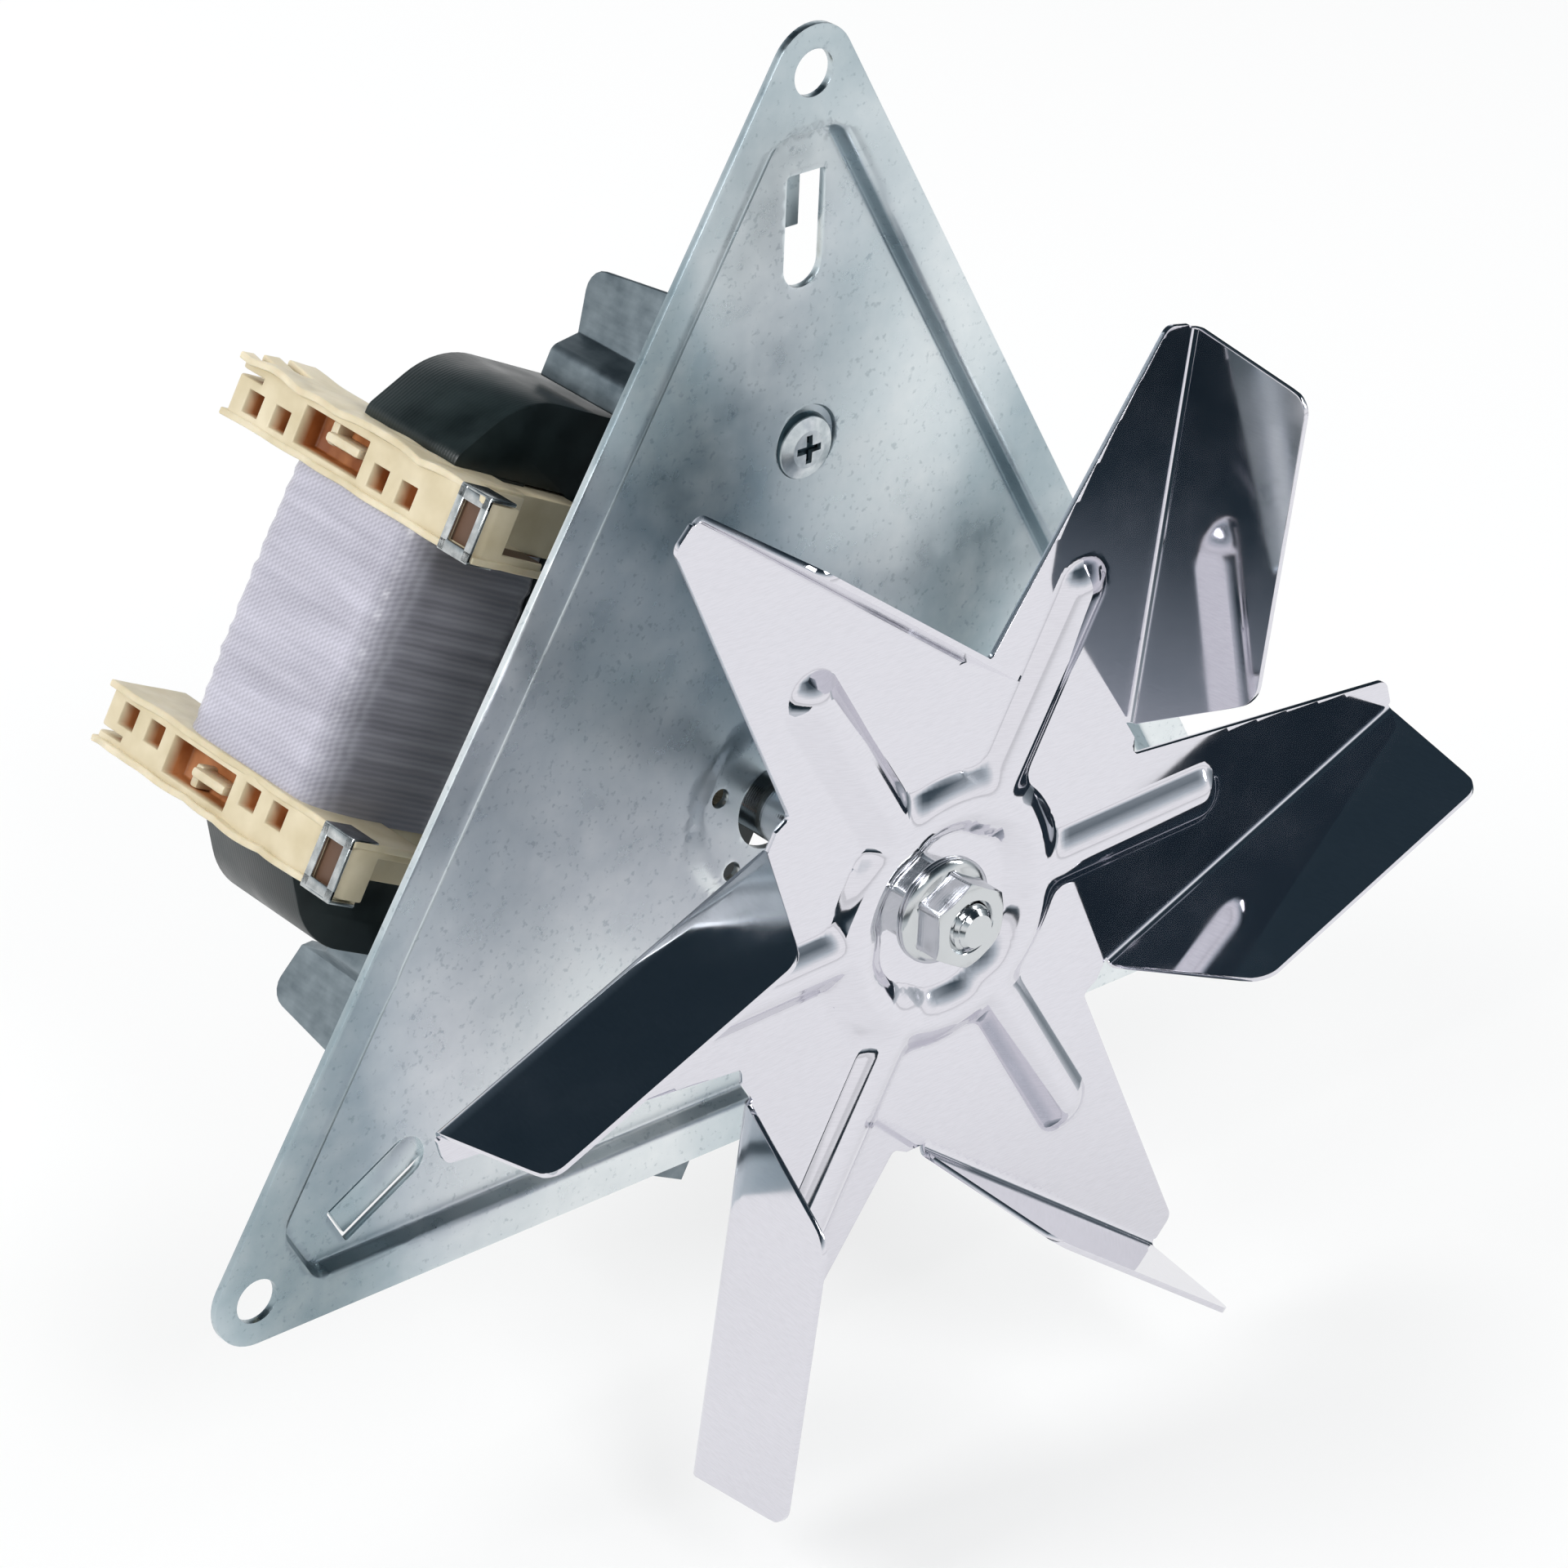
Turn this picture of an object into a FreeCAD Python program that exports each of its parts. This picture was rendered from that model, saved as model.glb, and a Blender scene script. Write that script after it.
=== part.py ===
import FreeCAD, Part
import math
import os

# Oven fan motor: a six-blade steel impeller on a long shaft, driven by a
# shaded-pole motor that hangs behind a triangular mounting plate.
# Frame: +Z up, the fan faces -Y and the motor lies towards +Y.
# Origin: centre of the three plate holes, on the front face of the rim.

# Driving sizes in millimetres and degrees
SIZES = {
    # mounting plate
    "plate_sheet": 1.0,
    "hole_circle": 90.0,
    "hole_radius": 2.9,
    "plate_inradius": 50.9,
    "rim_width": 5.4,
    "recess_depth": 2.1,
    "recess_slope": 1.2,
    "recess_tip": 82.9,
    "recess_corner": 2.5,
    "window_inner": 62.4,
    "window_outer": 76.8,
    "window_width": 5.8,
    "window_shift_top": 1.4,
    "window_shift_left": 3.0,
    "tongue_length": 7.4,
    "tongue_depth": 4.2,
    "tongue_side_gap": 0.8,
    "shaft_hole": 5.6,
    "centre_ring": 12.4,
    "centre_lift": 0.7,
    "pilot_circle": 9.4,
    "pilot_radius": 1.3,
    "pilot_turn": 155.6,
    # position of the motor behind the plate
    "shaft_drop": 5.65,
    "motor_turn": 27.0,
    # stator core
    "core_front": 28.4,
    "core_stack": 17.6,
    "pole_wall": 3.2,
    "yoke_side": 13.4,
    "yoke_far": 6.6,
    "core_corner": 14.0,
    "core_corner_run": 7.0,
    "core_corner_drop": 9.0,
    "core_corner_end": 4.0,
    "core_far_corner": 8.0,
    "leg_width": 12.0,
    "coil_window": 7.4,
    "coil_overhang": 3.4,
    "air_gap": 0.4,
    "pole_gap": 3.0,
    "shade_slot": 1.8,
    "shade_angle": 38.0,
    # coil
    "former_wall": 1.0,
    "winding_build": 3.4,
    "tape_build": 0.4,
    "fit_gap": 0.3,
    "former_end": 7.0,
    "former_skin": 1.1,
    "former_ahead": 14.0,
    "former_behind": 17.6,
    "former_proud": 0.6,
    "former_depth": 12.0,
    "pocket_small": 3.0,
    "pocket_pitch": 5.4,
    "pocket_long": 12.5,
    "pocket_wide": 2.9,
    "pocket_depth": 8.0,
    "notch_length": 5.0,
    "clip_sheet": 0.6,
    "clip_back": 3.2,
    "clip_length": 9.0,
    # rotor and shaft
    "rotor_radius": 22.0,
    "bar_radius": 1.4,
    "bar_depth": 2.4,
    "bar_count": 17,
    "end_ring_build": 3.0,
    "end_ring_width": 7.7,
    "shaft_radius": 4.0,
    "stud_radius": 3.0,
    "shaft_tail": 64.0,
    "washer_build": 0.8,
    "washer_radius": 6.5,
    # bearings and bridges
    "bush_radius": 7.0,
    "bush_length": 9.0,
    "running_gap": 0.04,
    "bridge_sheet": 1.5,
    "bridge_half_width": 13.0,
    "bridge_web_over": 1.6,
    "bridge_clearance": 4.8,
    "clamp_beyond": 8.1,
    "clamp_radius": 2.0,
    "clamp_head": 3.6,
    "clamp_head_height": 2.6,
    "nut_height": 3.2,
    "nut_flats": 7.0,
    "cup_wall": 1.2,
    "felt_build": 2.0,
    # feet of the front bridge
    "foot_beyond": 3.8,
    "foot_length": 10.2,
    "foot_screw_out": 7.5,
    "foot_screw_side": 18.8,
    "foot_screw_radius": 2.0,
    "foot_screw_head": 4.3,
    "foot_screw_head_height": 1.5,
    "foot_screw_length": 8.0,
    "dimple_radius": 5.2,
    "dimple_depth": 0.5,
    "ear_depth": 42.0,
    "ear_taper": 2.0,
    "ear_taper_run": 14.0,
    "ear_corner": 1.5,
    "ear_step": 4.2,
    "ear_fold": 6.8,
    "ear_sheet": 1.2,
    "ear_gap": 0.2,
    "ledge_out": 5.0,
    "ledge_drop": 3.0,
    "skirt_drop": 2.0,
    # impeller
    "fan_plane": 29.2,
    "fan_sheet": 0.7,
    "fan_radius": 75.0,
    "fan_fold_inner": 33.6,
    "fan_root": 31.9,
    "tip_angle": 121.8,
    "fold_angle": 87.8,
    "tip_back_angle": 125.6,
    "root_angle": 140.0,
    "blade_height": 18.5,
    "blade_lean": 86.0,
    "blade_tip_cut": 2.8,
    "blade_root_cut": 9.5,
    "blade_corner": 1.8,
    "rib_half": 3.2,
    "rib_height": 2.0,
    "rib_slope": 0.7,
    "rib_ring": 14.2,
    "rib_end": 41.1,
    "rib_turn": 122.2,
    "fan_nut_flats": 10.0,
    "fan_nut_height": 5.2,
    "fan_nut_flange": 6.8,
    "fan_nut_flange_height": 1.2,
    "stud_proud": 1.2,
}
BLADES = 6

doc = FreeCAD.newDocument("oven_fan_motor")
sheet = doc.addObject("Spreadsheet::Sheet", "sizes")
for row, (alias, number) in enumerate(SIZES.items(), start=1):
    sheet.set("A%d" % row, alias)
    sheet.set("B%d" % row, str(number))
    sheet.setAlias("B%d" % row, alias)
doc.recompute()


def size(alias):
    return float(sheet.get(alias))


def flat(x, z):
    # a point of a sketch on the XZ plane, whose own axes are X and Z
    return FreeCAD.Vector(x, z, 0)


def polar(radius, degrees):
    angle = math.radians(degrees)
    return (radius * math.cos(angle), radius * math.sin(angle))


def circle(x, z, radius):
    return [Part.Circle(flat(x, z), FreeCAD.Vector(0, 0, 1), radius)]


def loop(corners):
    # closed outline of straight runs; each corner is (x, z, corner radius)
    starts = []
    arcs = []
    count = len(corners)
    for i in range(count):
        here = flat(corners[i][0], corners[i][1])
        radius = corners[i][2]
        before = flat(corners[i - 1][0], corners[i - 1][1]) - here
        after = flat(corners[(i + 1) % count][0], corners[(i + 1) % count][1]) - here
        half = before.getAngle(after) / 2.0
        if radius > 0 and half < 1.56:
            reach = radius / math.tan(half)
            reach = min(reach, 0.49 * before.Length, 0.49 * after.Length)
            radius = reach * math.tan(half)
            first = here + before.normalize() * reach
            last = here + after.normalize() * reach
            middle = (before + after).normalize()
            centre = here + middle * (radius / math.sin(half))
            crown = centre - middle * radius
            arcs.append(Part.Arc(first, crown, last))
            starts.append((first, last))
        else:
            arcs.append(None)
            starts.append((here, here))
    edges = []
    for i in range(count):
        if arcs[i]:
            edges.append(arcs[i])
        edges.append(Part.LineSegment(starts[i][1], starts[(i + 1) % count][0]))
    return edges


def rectangle(x0, z0, x1, z1, radius=0.0):
    corners = [(x0, z0), (x1, z0), (x1, z1), (x0, z1)]
    return loop([(x, z, radius) for x, z in corners])


def new_body(label):
    body = doc.addObject("PartDesign::Body", label)
    body.Label = label
    return body


def origin_plane(body, role):
    for feature in body.Origin.OriginFeatures:
        if feature.Role == role:
            return feature


def sketch(body, name, role, shift, loops):
    # the XZ plane looks towards -Y, so a sketch at y has an offset of -y
    drawing = body.newObject("Sketcher::SketchObject", name)
    drawing.AttachmentSupport = [(origin_plane(body, role), "")]
    drawing.MapMode = "FlatFace"
    if shift is not None:
        drawing.setExpression("AttachmentOffset.Base.z", "-(%s)" % shift)
    for edges in loops:
        drawing.addGeometry(edges, False)
    return drawing


def slab(body, name, loops, low, high):
    # material between y = low and y = high
    drawing = sketch(body, name + "_outline", "XZ_Plane", high, loops)
    pad = body.newObject("PartDesign::Pad", name)
    pad.Profile = drawing
    pad.setExpression("Length", "(%s) - (%s)" % (high, low))
    return pad


def cut(body, name, loops, low, high):
    # removes what lies between y = low and y = high
    drawing = sketch(body, name + "_outline", "XZ_Plane", low, loops)
    pocket = body.newObject("PartDesign::Pocket", name)
    pocket.Profile = drawing
    pocket.setExpression("Length", "(%s) - (%s)" % (high, low))
    return pocket


def turned(label, profile):
    # a turned piece about the Y axis; the profile lists (radius, y)
    body = new_body(label)
    corners = [(radius, y, 0.0) for radius, y in profile]
    drawing = sketch(body, label + "_profile", "XY_Plane", None, [loop(corners)])
    spin = body.newObject("PartDesign::Revolution", label + "_turning")
    spin.Profile = drawing
    spin.ReferenceAxis = (drawing, ["V_Axis"])
    spin.Angle = 360.0
    return body


def hexagon(flats):
    corners = [polar(flats / math.sqrt(3.0), 60.0 * k) for k in range(6)]
    return loop([(x, z, 0.0) for x, z in corners])


def around(body, name, features, axis_role, copies):
    pattern = body.newObject("PartDesign::PolarPattern", name)
    pattern.Originals = features
    pattern.Axis = (origin_plane(body, axis_role), [""])
    pattern.Angle = 360.0
    pattern.Occurrences = copies
    body.Tip = pattern
    return pattern


# Places: the shaft axis, and the turned frame of the motor on it
shaft_place = FreeCAD.Placement()
shaft_place.Base = FreeCAD.Vector(0, 0, -size("shaft_drop"))
motor_place = FreeCAD.Placement(shaft_place)
motor_place.Rotation = FreeCAD.Rotation(FreeCAD.Vector(0, 1, 0), size("motor_turn"))
nodes = {}


def keep(label, piece, place=None):
    if place is not None:
        piece.Placement = place
    nodes[label] = piece


# Named levels along the shaft, worked out from the sizes
recess_floor = size("recess_depth")
recess_back = size("recess_depth") + size("plate_sheet")
core_front = size("core_front")
core_back = size("core_front") + size("core_stack")
bore_radius = size("rotor_radius") + size("air_gap")
coil_in = bore_radius + size("pole_wall")
leg_in = coil_in + size("coil_window")
coil_side_face = leg_in + size("leg_width")
far_side_face = bore_radius + size("yoke_far")
core_half = bore_radius + size("yoke_side")
window_half = size("rotor_radius") + size("coil_overhang")
clamp_offset = bore_radius + size("clamp_beyond")
foot_inner = core_half + size("foot_beyond")
foot_outer = foot_inner + size("foot_length")
screw_up = core_half + size("foot_screw_out")
bar_circle = size("rotor_radius") - size("bar_depth")
ring_front = core_front - size("end_ring_build")
ring_back = core_back + size("end_ring_build")
web_front = ring_front - size("bridge_clearance")
web_back = ring_back + size("bridge_clearance")
fan_front = -size("fan_plane")
fan_back = fan_front + size("fan_sheet")


# Mounting plate: one pressed sheet, a triangle with rounded corners
def triangle_corners(inradius, corner, inset_tip=None):
    corners = []
    for k in range(3):
        middle = 90.0 + 120.0 * k
        if inset_tip is None:
            x, z = polar(2.0 * inradius, middle)
            corners.append((x, z, corner))
        else:
            spread = (2.0 * inradius - inset_tip) * math.tan(math.radians(30.0))
            along = polar(inset_tip, middle)
            side = polar(spread, middle + 90.0)
            corners.append((along[0] - side[0], along[1] - side[1], corner))
            corners.append((along[0] + side[0], along[1] + side[1], corner))
    return corners


def recess_outline(inset):
    inner = size("plate_inradius") - size("rim_width") - inset
    return loop(triangle_corners(inner, size("recess_corner"), size("recess_tip") - inset))


def recess_loft(body, name, kind, low, high, inset_low, inset_high):
    first = sketch(body, name + "_rim", "XZ_Plane", low, [recess_outline(inset_low)])
    last = sketch(body, name + "_floor", "XZ_Plane", high, [recess_outline(inset_high)])
    loft = body.newObject(kind, name)
    loft.Profile = first
    loft.Sections = [last]
    loft.Ruled = True
    return loft


def make_plate():
    body = new_body("mounting_plate")
    corner = size("plate_inradius") - size("hole_circle") * 0.5
    slab(body, "rim", [loop(triangle_corners(size("plate_inradius"), corner))], "0", "sizes.plate_sheet")
    slope = size("recess_slope") / size("recess_depth")
    skin = size("plate_sheet") * math.sqrt(1.0 + slope * slope)
    back = "sizes.recess_depth + sizes.plate_sheet"
    recess_loft(body, "pan", "PartDesign::AdditiveLoft", "0", back, -skin, slope * recess_back - skin)
    recess_loft(body, "hollow", "PartDesign::SubtractiveLoft", "0", "sizes.recess_depth", 0.0, size("recess_slope"))
    holes = [circle(*polar(size("hole_circle"), 90.0 + 120.0 * k), size("hole_radius")) for k in range(3)]
    cut(body, "corner_holes", holes, "-1", "sizes.plate_sheet + 1")
    # low round boss round the shaft, with its bore and four pilot holes
    drop = -size("shaft_drop")
    slab(body, "centre_boss", [circle(0, drop, size("centre_ring"))],
         "sizes.recess_depth - sizes.centre_lift", "sizes.recess_depth")
    cut(body, "boss_back", [circle(0, drop, size("centre_ring") - size("plate_sheet"))],
        back + " - sizes.centre_lift", back)
    bore = [circle(0, drop, size("shaft_hole"))]
    for k in range(5):
        x, z = polar(size("pilot_circle"), size("pilot_turn") + 72.0 * k)
        bore.append(circle(x, z + drop, size("pilot_radius")))
    cut(body, "boss_holes", bore, "0", back + " + 1")
    # lanced windows, each with its inner end rounded
    half = size("window_width") / 2.0
    windows = []
    for k in range(3):
        turn = 90.0 + 120.0 * k
        near = size("window_inner")
        far = size("window_outer")
        low = window_shift(k) - half
        high = window_shift(k) + half
        outline = [(near, low, half), (far, low, 0.3), (far, high, 0.3), (near, high, half)]
        windows.append(loop([turned_point(r, t, turn) + (c,) for r, t, c in outline]))
    cut(body, "windows", windows, "0", back + " + 1")
    # shallow dimples and bores for the two foot screws
    dimples = []
    bores = []
    for x, z in screw_spots():
        dimples.append(circle(x, z, size("dimple_radius")))
        bores.append(circle(x, z, size("foot_screw_radius")))
    cut(body, "dimples", dimples, "sizes.recess_depth", "sizes.recess_depth + sizes.dimple_depth")
    cut(body, "screw_bores", bores, "0", back + " + 1")
    return body


def window_shift(number):
    # how far each window's middle line lies beside its corner's ray
    return (-size("window_shift_top"), size("window_shift_left"), 0.0)[number]


def turned_point(radial, across, degrees):
    # from a point along and across a ray to sheet coordinates
    along = polar(radial, degrees)
    side = polar(across, degrees + 90.0)
    return (along[0] + side[0], along[1] + side[1])


def motor_point(side, up):
    # a point of the motor's frame, given towards the coil and along it
    place = motor_place.multVec(FreeCAD.Vector(-side, 0, up))
    return (place.x, place.z)


def screw_spots():
    side = size("foot_screw_side")
    return [motor_point(side, screw_up), motor_point(side, -screw_up)]


keep("mounting_plate", make_plate())


# Lanced tongues stay part of the sheet: short leaves set back behind the windows
def sheet_block(name, turn, radial, across, y, length, width, height):
    # a block on a corner's ray, given by its middle across the ray
    block = doc.addObject("Part::Box", name)
    block.Length = length
    block.Width = width
    block.Height = height
    along = FreeCAD.Vector(polar(1.0, turn)[0], 0, polar(1.0, turn)[1])
    side = FreeCAD.Vector(-along.z, 0, along.x)
    back = FreeCAD.Vector(0, 1, 0)
    start = along * radial + side * (across + width / 2.0) + back * y
    block.Placement = FreeCAD.Placement(start, FreeCAD.Rotation(along, side * -1.0, back, "ZXY"))
    return block


def add_tongues(plate):
    leaves = [plate]
    thick = size("plate_sheet")
    far = size("window_outer")
    depth = size("tongue_depth")
    wide = size("window_width") - 0.4
    for k in (0, 2):
        # a leaf that hangs behind the window from its outer end
        turn = 90.0 + 120.0 * k
        shift = window_shift(k)
        leaves.append(sheet_block("step_%d" % k, turn, far - 0.1, shift, recess_back - 0.3,
                                  thick, wide, depth - thick + 0.3))
        leaves.append(sheet_block("leaf_%d" % k, turn, far + thick - 0.1 - size("tongue_length"), shift,
                                  recess_floor + depth - 0.1, size("tongue_length"), wide, thick))
    # the left window keeps a long narrow leaf that joins its inner end
    near = size("window_inner")
    narrow = size("window_width") - 2.0 * size("tongue_side_gap")
    leaves.append(sheet_block("leaf_1", 210.0, near - 0.5, window_shift(1), recess_back - 0.5,
                              far - near, narrow, thick))
    joined = doc.addObject("Part::MultiFuse", "mounting_plate_sheet")
    joined.Shapes = leaves
    joined.Label = "mounting_plate"
    return joined


nodes["mounting_plate"].Label = "mounting_plate_pressing"
keep("mounting_plate", add_tongues(nodes["mounting_plate"]))


# Stator core: a laminated frame, open on the coil side
def make_core():
    body = new_body("stator_core")
    half = core_half
    coil_side = -coil_side_face
    far_side = far_side_face
    near = size("core_corner")
    tail = size("core_corner_end")
    far = size("core_far_corner")
    window = window_half
    inner = -coil_in
    # the coil side's corners are wide sweeps that end in a tighter one
    swept = coil_side + size("core_corner_run")
    ended = half - size("core_corner_drop")
    outline = [
        (coil_side, -ended, tail), (swept, -half, near), (far_side, -half, far), (far_side, half, far),
        (swept, half, near), (coil_side, ended, tail), (coil_side, window, 0.0), (inner, window, 1.0),
        (inner, -window, 1.0), (coil_side, -window, 0.0),
    ]
    bore = circle(0, 0, bore_radius)
    back = "sizes.core_front + sizes.core_stack"
    slab(body, "laminations", [loop(outline), bore], "sizes.core_front", back)
    # gaps between the two poles, and the slots of the shading rings
    slots = []
    reach = bore_radius
    gap = size("pole_gap") / 2.0
    slots.append(rectangle(-reach - 2.2, -gap, -reach + 1.0, gap))
    slots.append(rectangle(reach - 1.0, -gap, reach + 2.2, gap))
    for turn in shade_turns():
        slots.append(shade_slot(turn, reach))
    cut(body, "pole_slots", slots, "sizes.core_front - 1", back + " + 1")
    holes = [circle(0, s * clamp_offset, size("clamp_radius")) for s in (-1, 1)]
    cut(body, "clamp_holes", holes, "sizes.core_front - 1", back + " + 1")
    return body


def shade_turns():
    spread = size("shade_angle")
    return [spread, spread + 180.0]


def shade_slot(turn, reach):
    half = size("shade_slot") / 2.0
    outline = [(reach - 1.0, -half), (reach + 4.0, -half), (reach + 4.0, half), (reach - 1.0, half)]
    return loop([turned_point(r, t, turn) + (0.0,) for r, t in outline])


keep("stator_core", make_core(), motor_place)


# Shading rings: closed copper loops that lie in the pole slots
def make_shading_rings():
    rings = []
    wire = size("shade_slot") - 0.2
    reach = bore_radius + 0.4
    for number, turn in enumerate(shade_turns(), start=1):
        body = new_body("shading_ring_%d" % number)
        long_half = wire / 2.0
        outline = [(reach, -long_half), (reach + 3.2, -long_half), (reach + 3.2, long_half), (reach, long_half)]
        bar = loop([turned_point(r, t, turn) + (0.0,) for r, t in outline])
        slab(body, "bar_%d" % number, [bar], "sizes.core_front - 1.2", "sizes.core_front + sizes.core_stack + 1.2")
        rings.append(body)
    return rings


def group(label, members, place=None):
    cluster = doc.addObject("Part::Compound", label + "_group")
    cluster.Links = members
    cluster.Label = label
    keep(label, cluster, place)


group("shading_rings", make_shading_rings(), motor_place)


# Coil leg: the straight laminated bar that closes the frame through the coil
def make_leg():
    body = new_body("core_leg")
    outline = rectangle(-coil_side_face, -window_half, -leg_in, window_half)
    slab(body, "leg", [outline], "sizes.core_front", "sizes.core_front + sizes.core_stack")
    return body


keep("core_leg", make_leg(), motor_place)


# Coil former: a moulded tube between two hollow end frames
coil_build = size("former_wall") + size("winding_build") + size("tape_build")
former_reach = coil_side_face + coil_build + size("former_proud")


def ring_outline(spread, corner):
    # rectangle round the leg, seen along the coil, as (side, y) corners
    x0 = -coil_side_face - spread
    x1 = -leg_in + spread
    y0 = core_front - spread
    y1 = core_back + spread
    return [(x0, y0, corner), (x1, y0, corner), (x1, y1, corner), (x0, y1, corner)]


def collar(body, name, kind, outlines, low, high):
    # material or cut between two heights along the coil
    drawing = body.newObject("Sketcher::SketchObject", name + "_outline")
    drawing.AttachmentSupport = [(origin_plane(body, "XY_Plane"), "")]
    drawing.MapMode = "FlatFace"
    offset = low if kind == "PartDesign::Pad" else high
    drawing.AttachmentOffset = FreeCAD.Placement(FreeCAD.Vector(0, 0, offset), FreeCAD.Rotation())
    for edges in outlines:
        drawing.addGeometry(edges, False)
    feature = body.newObject(kind, name)
    feature.Profile = drawing
    feature.Length = high - low
    return feature


def make_former():
    body = new_body("coil_former")
    hole = size("fit_gap") * 0.1
    top = window_half - size("fit_gap")
    floor = top - size("former_end")
    wall = size("former_wall")
    tube = [loop(ring_outline(wall, 1.0))]
    collar(body, "tube", "PartDesign::Pad", tube, -top, top)
    x0 = -former_reach
    x1 = x0 + size("former_depth")
    x_in = -coil_in - size("fit_gap")
    y0 = core_front - size("former_ahead")
    y1 = core_back + size("former_behind")
    build = size("winding_build") + wall
    corner = 1.5
    end = [
        (x0, y0, corner), (x1, y0, corner), (x1, core_front - build, 0.5), (x_in, core_front - build, 0.5),
        (x_in, core_back + build, 0.5), (x1, core_back + build, 0.5), (x1, y1, corner), (x0, y1, corner),
    ]
    collar(body, "end_high", "PartDesign::Pad", [loop(end)], floor, top)
    collar(body, "end_low", "PartDesign::Pad", [loop(end)], -top, -floor)
    collar(body, "leg_hole", "PartDesign::Pocket", [loop(ring_outline(hole, 0.0))], -top, top)
    # pockets open to the coil side: small ones at both ends, a long one between
    small = size("pocket_small")
    pitch = size("pocket_pitch")
    skin = size("former_skin")
    wide = size("pocket_wide")
    deep = size("former_end") - 2 * skin
    spans = []
    y = y1 - 3.2 - small
    for _ in range(2):
        spans.append((y, y + small, wide))
        y -= pitch
    y += pitch - 2.0 - size("pocket_long")
    spans.append((y, y + size("pocket_long"), deep))
    y -= 2.0 + small
    for _ in range(2):
        spans.append((y, y + small, wide))
        y -= pitch
    for low, high, height in spans:
        outline = [rectangle(x0 - 1.0, low, x0 + pocket_reach(low, high), high)]
        collar(body, "pocket", "PartDesign::Pocket", outline, floor + skin, floor + skin + height)
        collar(body, "pocket", "PartDesign::Pocket", outline, -floor - skin - height, -floor - skin)
    # notches that part the two skins at the back end
    notch = [rectangle(x0 - 1.0, y1 - size("notch_length"), x0 + size("pocket_depth"), y1 + 1.0)]
    upper = floor + 2 * skin + wide
    collar(body, "notch", "PartDesign::Pocket", notch, upper, top - skin)
    collar(body, "notch", "PartDesign::Pocket", notch, skin - top, -upper)
    return body


def pocket_reach(low, high):
    # pockets beside the leg stay shallow, so that they end outside the tube
    clear_front = core_front - size("former_wall") - 1.0
    clear_back = core_back + size("former_wall") + 1.0
    if high < clear_front or low > clear_back:
        return size("pocket_depth")
    return former_reach - coil_side_face - size("former_wall") - 0.6


keep("coil_former", make_former(), motor_place)


# Winding and the tape round it
def make_sleeve(label, inner, outer, corner_in, corner_out, half_height):
    body = new_body(label)
    outlines = [loop(ring_outline(outer, corner_out)), loop(ring_outline(inner, corner_in))]
    collar(body, label + "_ring", "PartDesign::Pad", outlines, -half_height, half_height)
    return body


coil_half = window_half - size("fit_gap") - size("former_end")
wire_in = size("former_wall")
wire_out = wire_in + size("winding_build")
tape_out = wire_out + size("tape_build")
winding = make_sleeve("winding", wire_in, wire_out, 1.0, 3.4, coil_half)
keep("winding", winding, motor_place)
tape = make_sleeve("coil_tape", wire_out, tape_out, 3.4, 3.8, coil_half)
keep("coil_tape", tape, motor_place)


# Terminal clips: bent strips pushed over the front ends of the former
def make_clips():
    clips = []
    skin = size("clip_sheet")
    x_out = -former_reach - skin
    # each clip starts on the former's front end and stops just before the tape
    width = "sizes.former_ahead - sizes.clip_back - sizes.former_wall"
    width = width + " - sizes.winding_build - sizes.tape_build - sizes.fit_gap"
    y_end = core_front - tape_out - size("fit_gap")
    top = window_half - size("fit_gap")
    floor = top - size("former_end")
    for number, (low, high) in enumerate(((floor, top), (-top, -floor)), start=1):
        body = new_body("terminal_clip_%d" % number)
        x_in = x_out + size("clip_length")
        outline = [
            (x_out, low - skin, 0.4), (x_in, low - skin, 0.0), (x_in, low, 0.0), (x_out + skin, low, 0.0),
            (x_out + skin, high, 0.0), (x_in, high, 0.0), (x_in, high + skin, 0.0), (x_out, high + skin, 0.4),
        ]
        drawing = body.newObject("Sketcher::SketchObject", "clip_outline_%d" % number)
        drawing.AttachmentSupport = [(origin_plane(body, "XZ_Plane"), "")]
        drawing.MapMode = "FlatFace"
        drawing.AttachmentOffset = FreeCAD.Placement(
            FreeCAD.Vector(0, 0, -y_end), FreeCAD.Rotation())
        drawing.addGeometry(loop(outline), False)
        pad = body.newObject("PartDesign::Pad", "clip_strip_%d" % number)
        pad.Profile = drawing
        pad.setExpression("Length", width)
        clips.append(body)
    return clips


group("terminal_clips", make_clips(), motor_place)


# Front bridge: one folded strip that carries the front bush and the two feet
def strip(points, thick):
    # outline of a folded strip from its centre line
    left = []
    right = []
    last = len(points) - 1
    for i, (x, z) in enumerate(points):
        here = FreeCAD.Vector(x, z, 0)
        ahead = FreeCAD.Vector(*points[min(i + 1, last)], 0) - here
        behind = here - FreeCAD.Vector(*points[max(i - 1, 0)], 0)
        if i == 0:
            behind = FreeCAD.Vector(ahead)
        if i == last:
            ahead = FreeCAD.Vector(behind)
        ahead.normalize()
        behind.normalize()
        normal = FreeCAD.Vector(-ahead.y - behind.y, ahead.x + behind.x, 0)
        normal.normalize()
        stretch = 1.0 / max(0.3, abs(normal.x * -ahead.y + normal.y * ahead.x))
        left.append((x + normal.x * thick / 2.0 * stretch, z + normal.y * thick / 2.0 * stretch, 0.0))
        right.append((x - normal.x * thick / 2.0 * stretch, z - normal.y * thick / 2.0 * stretch, 0.0))
    return loop(left + right[::-1])


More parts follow.
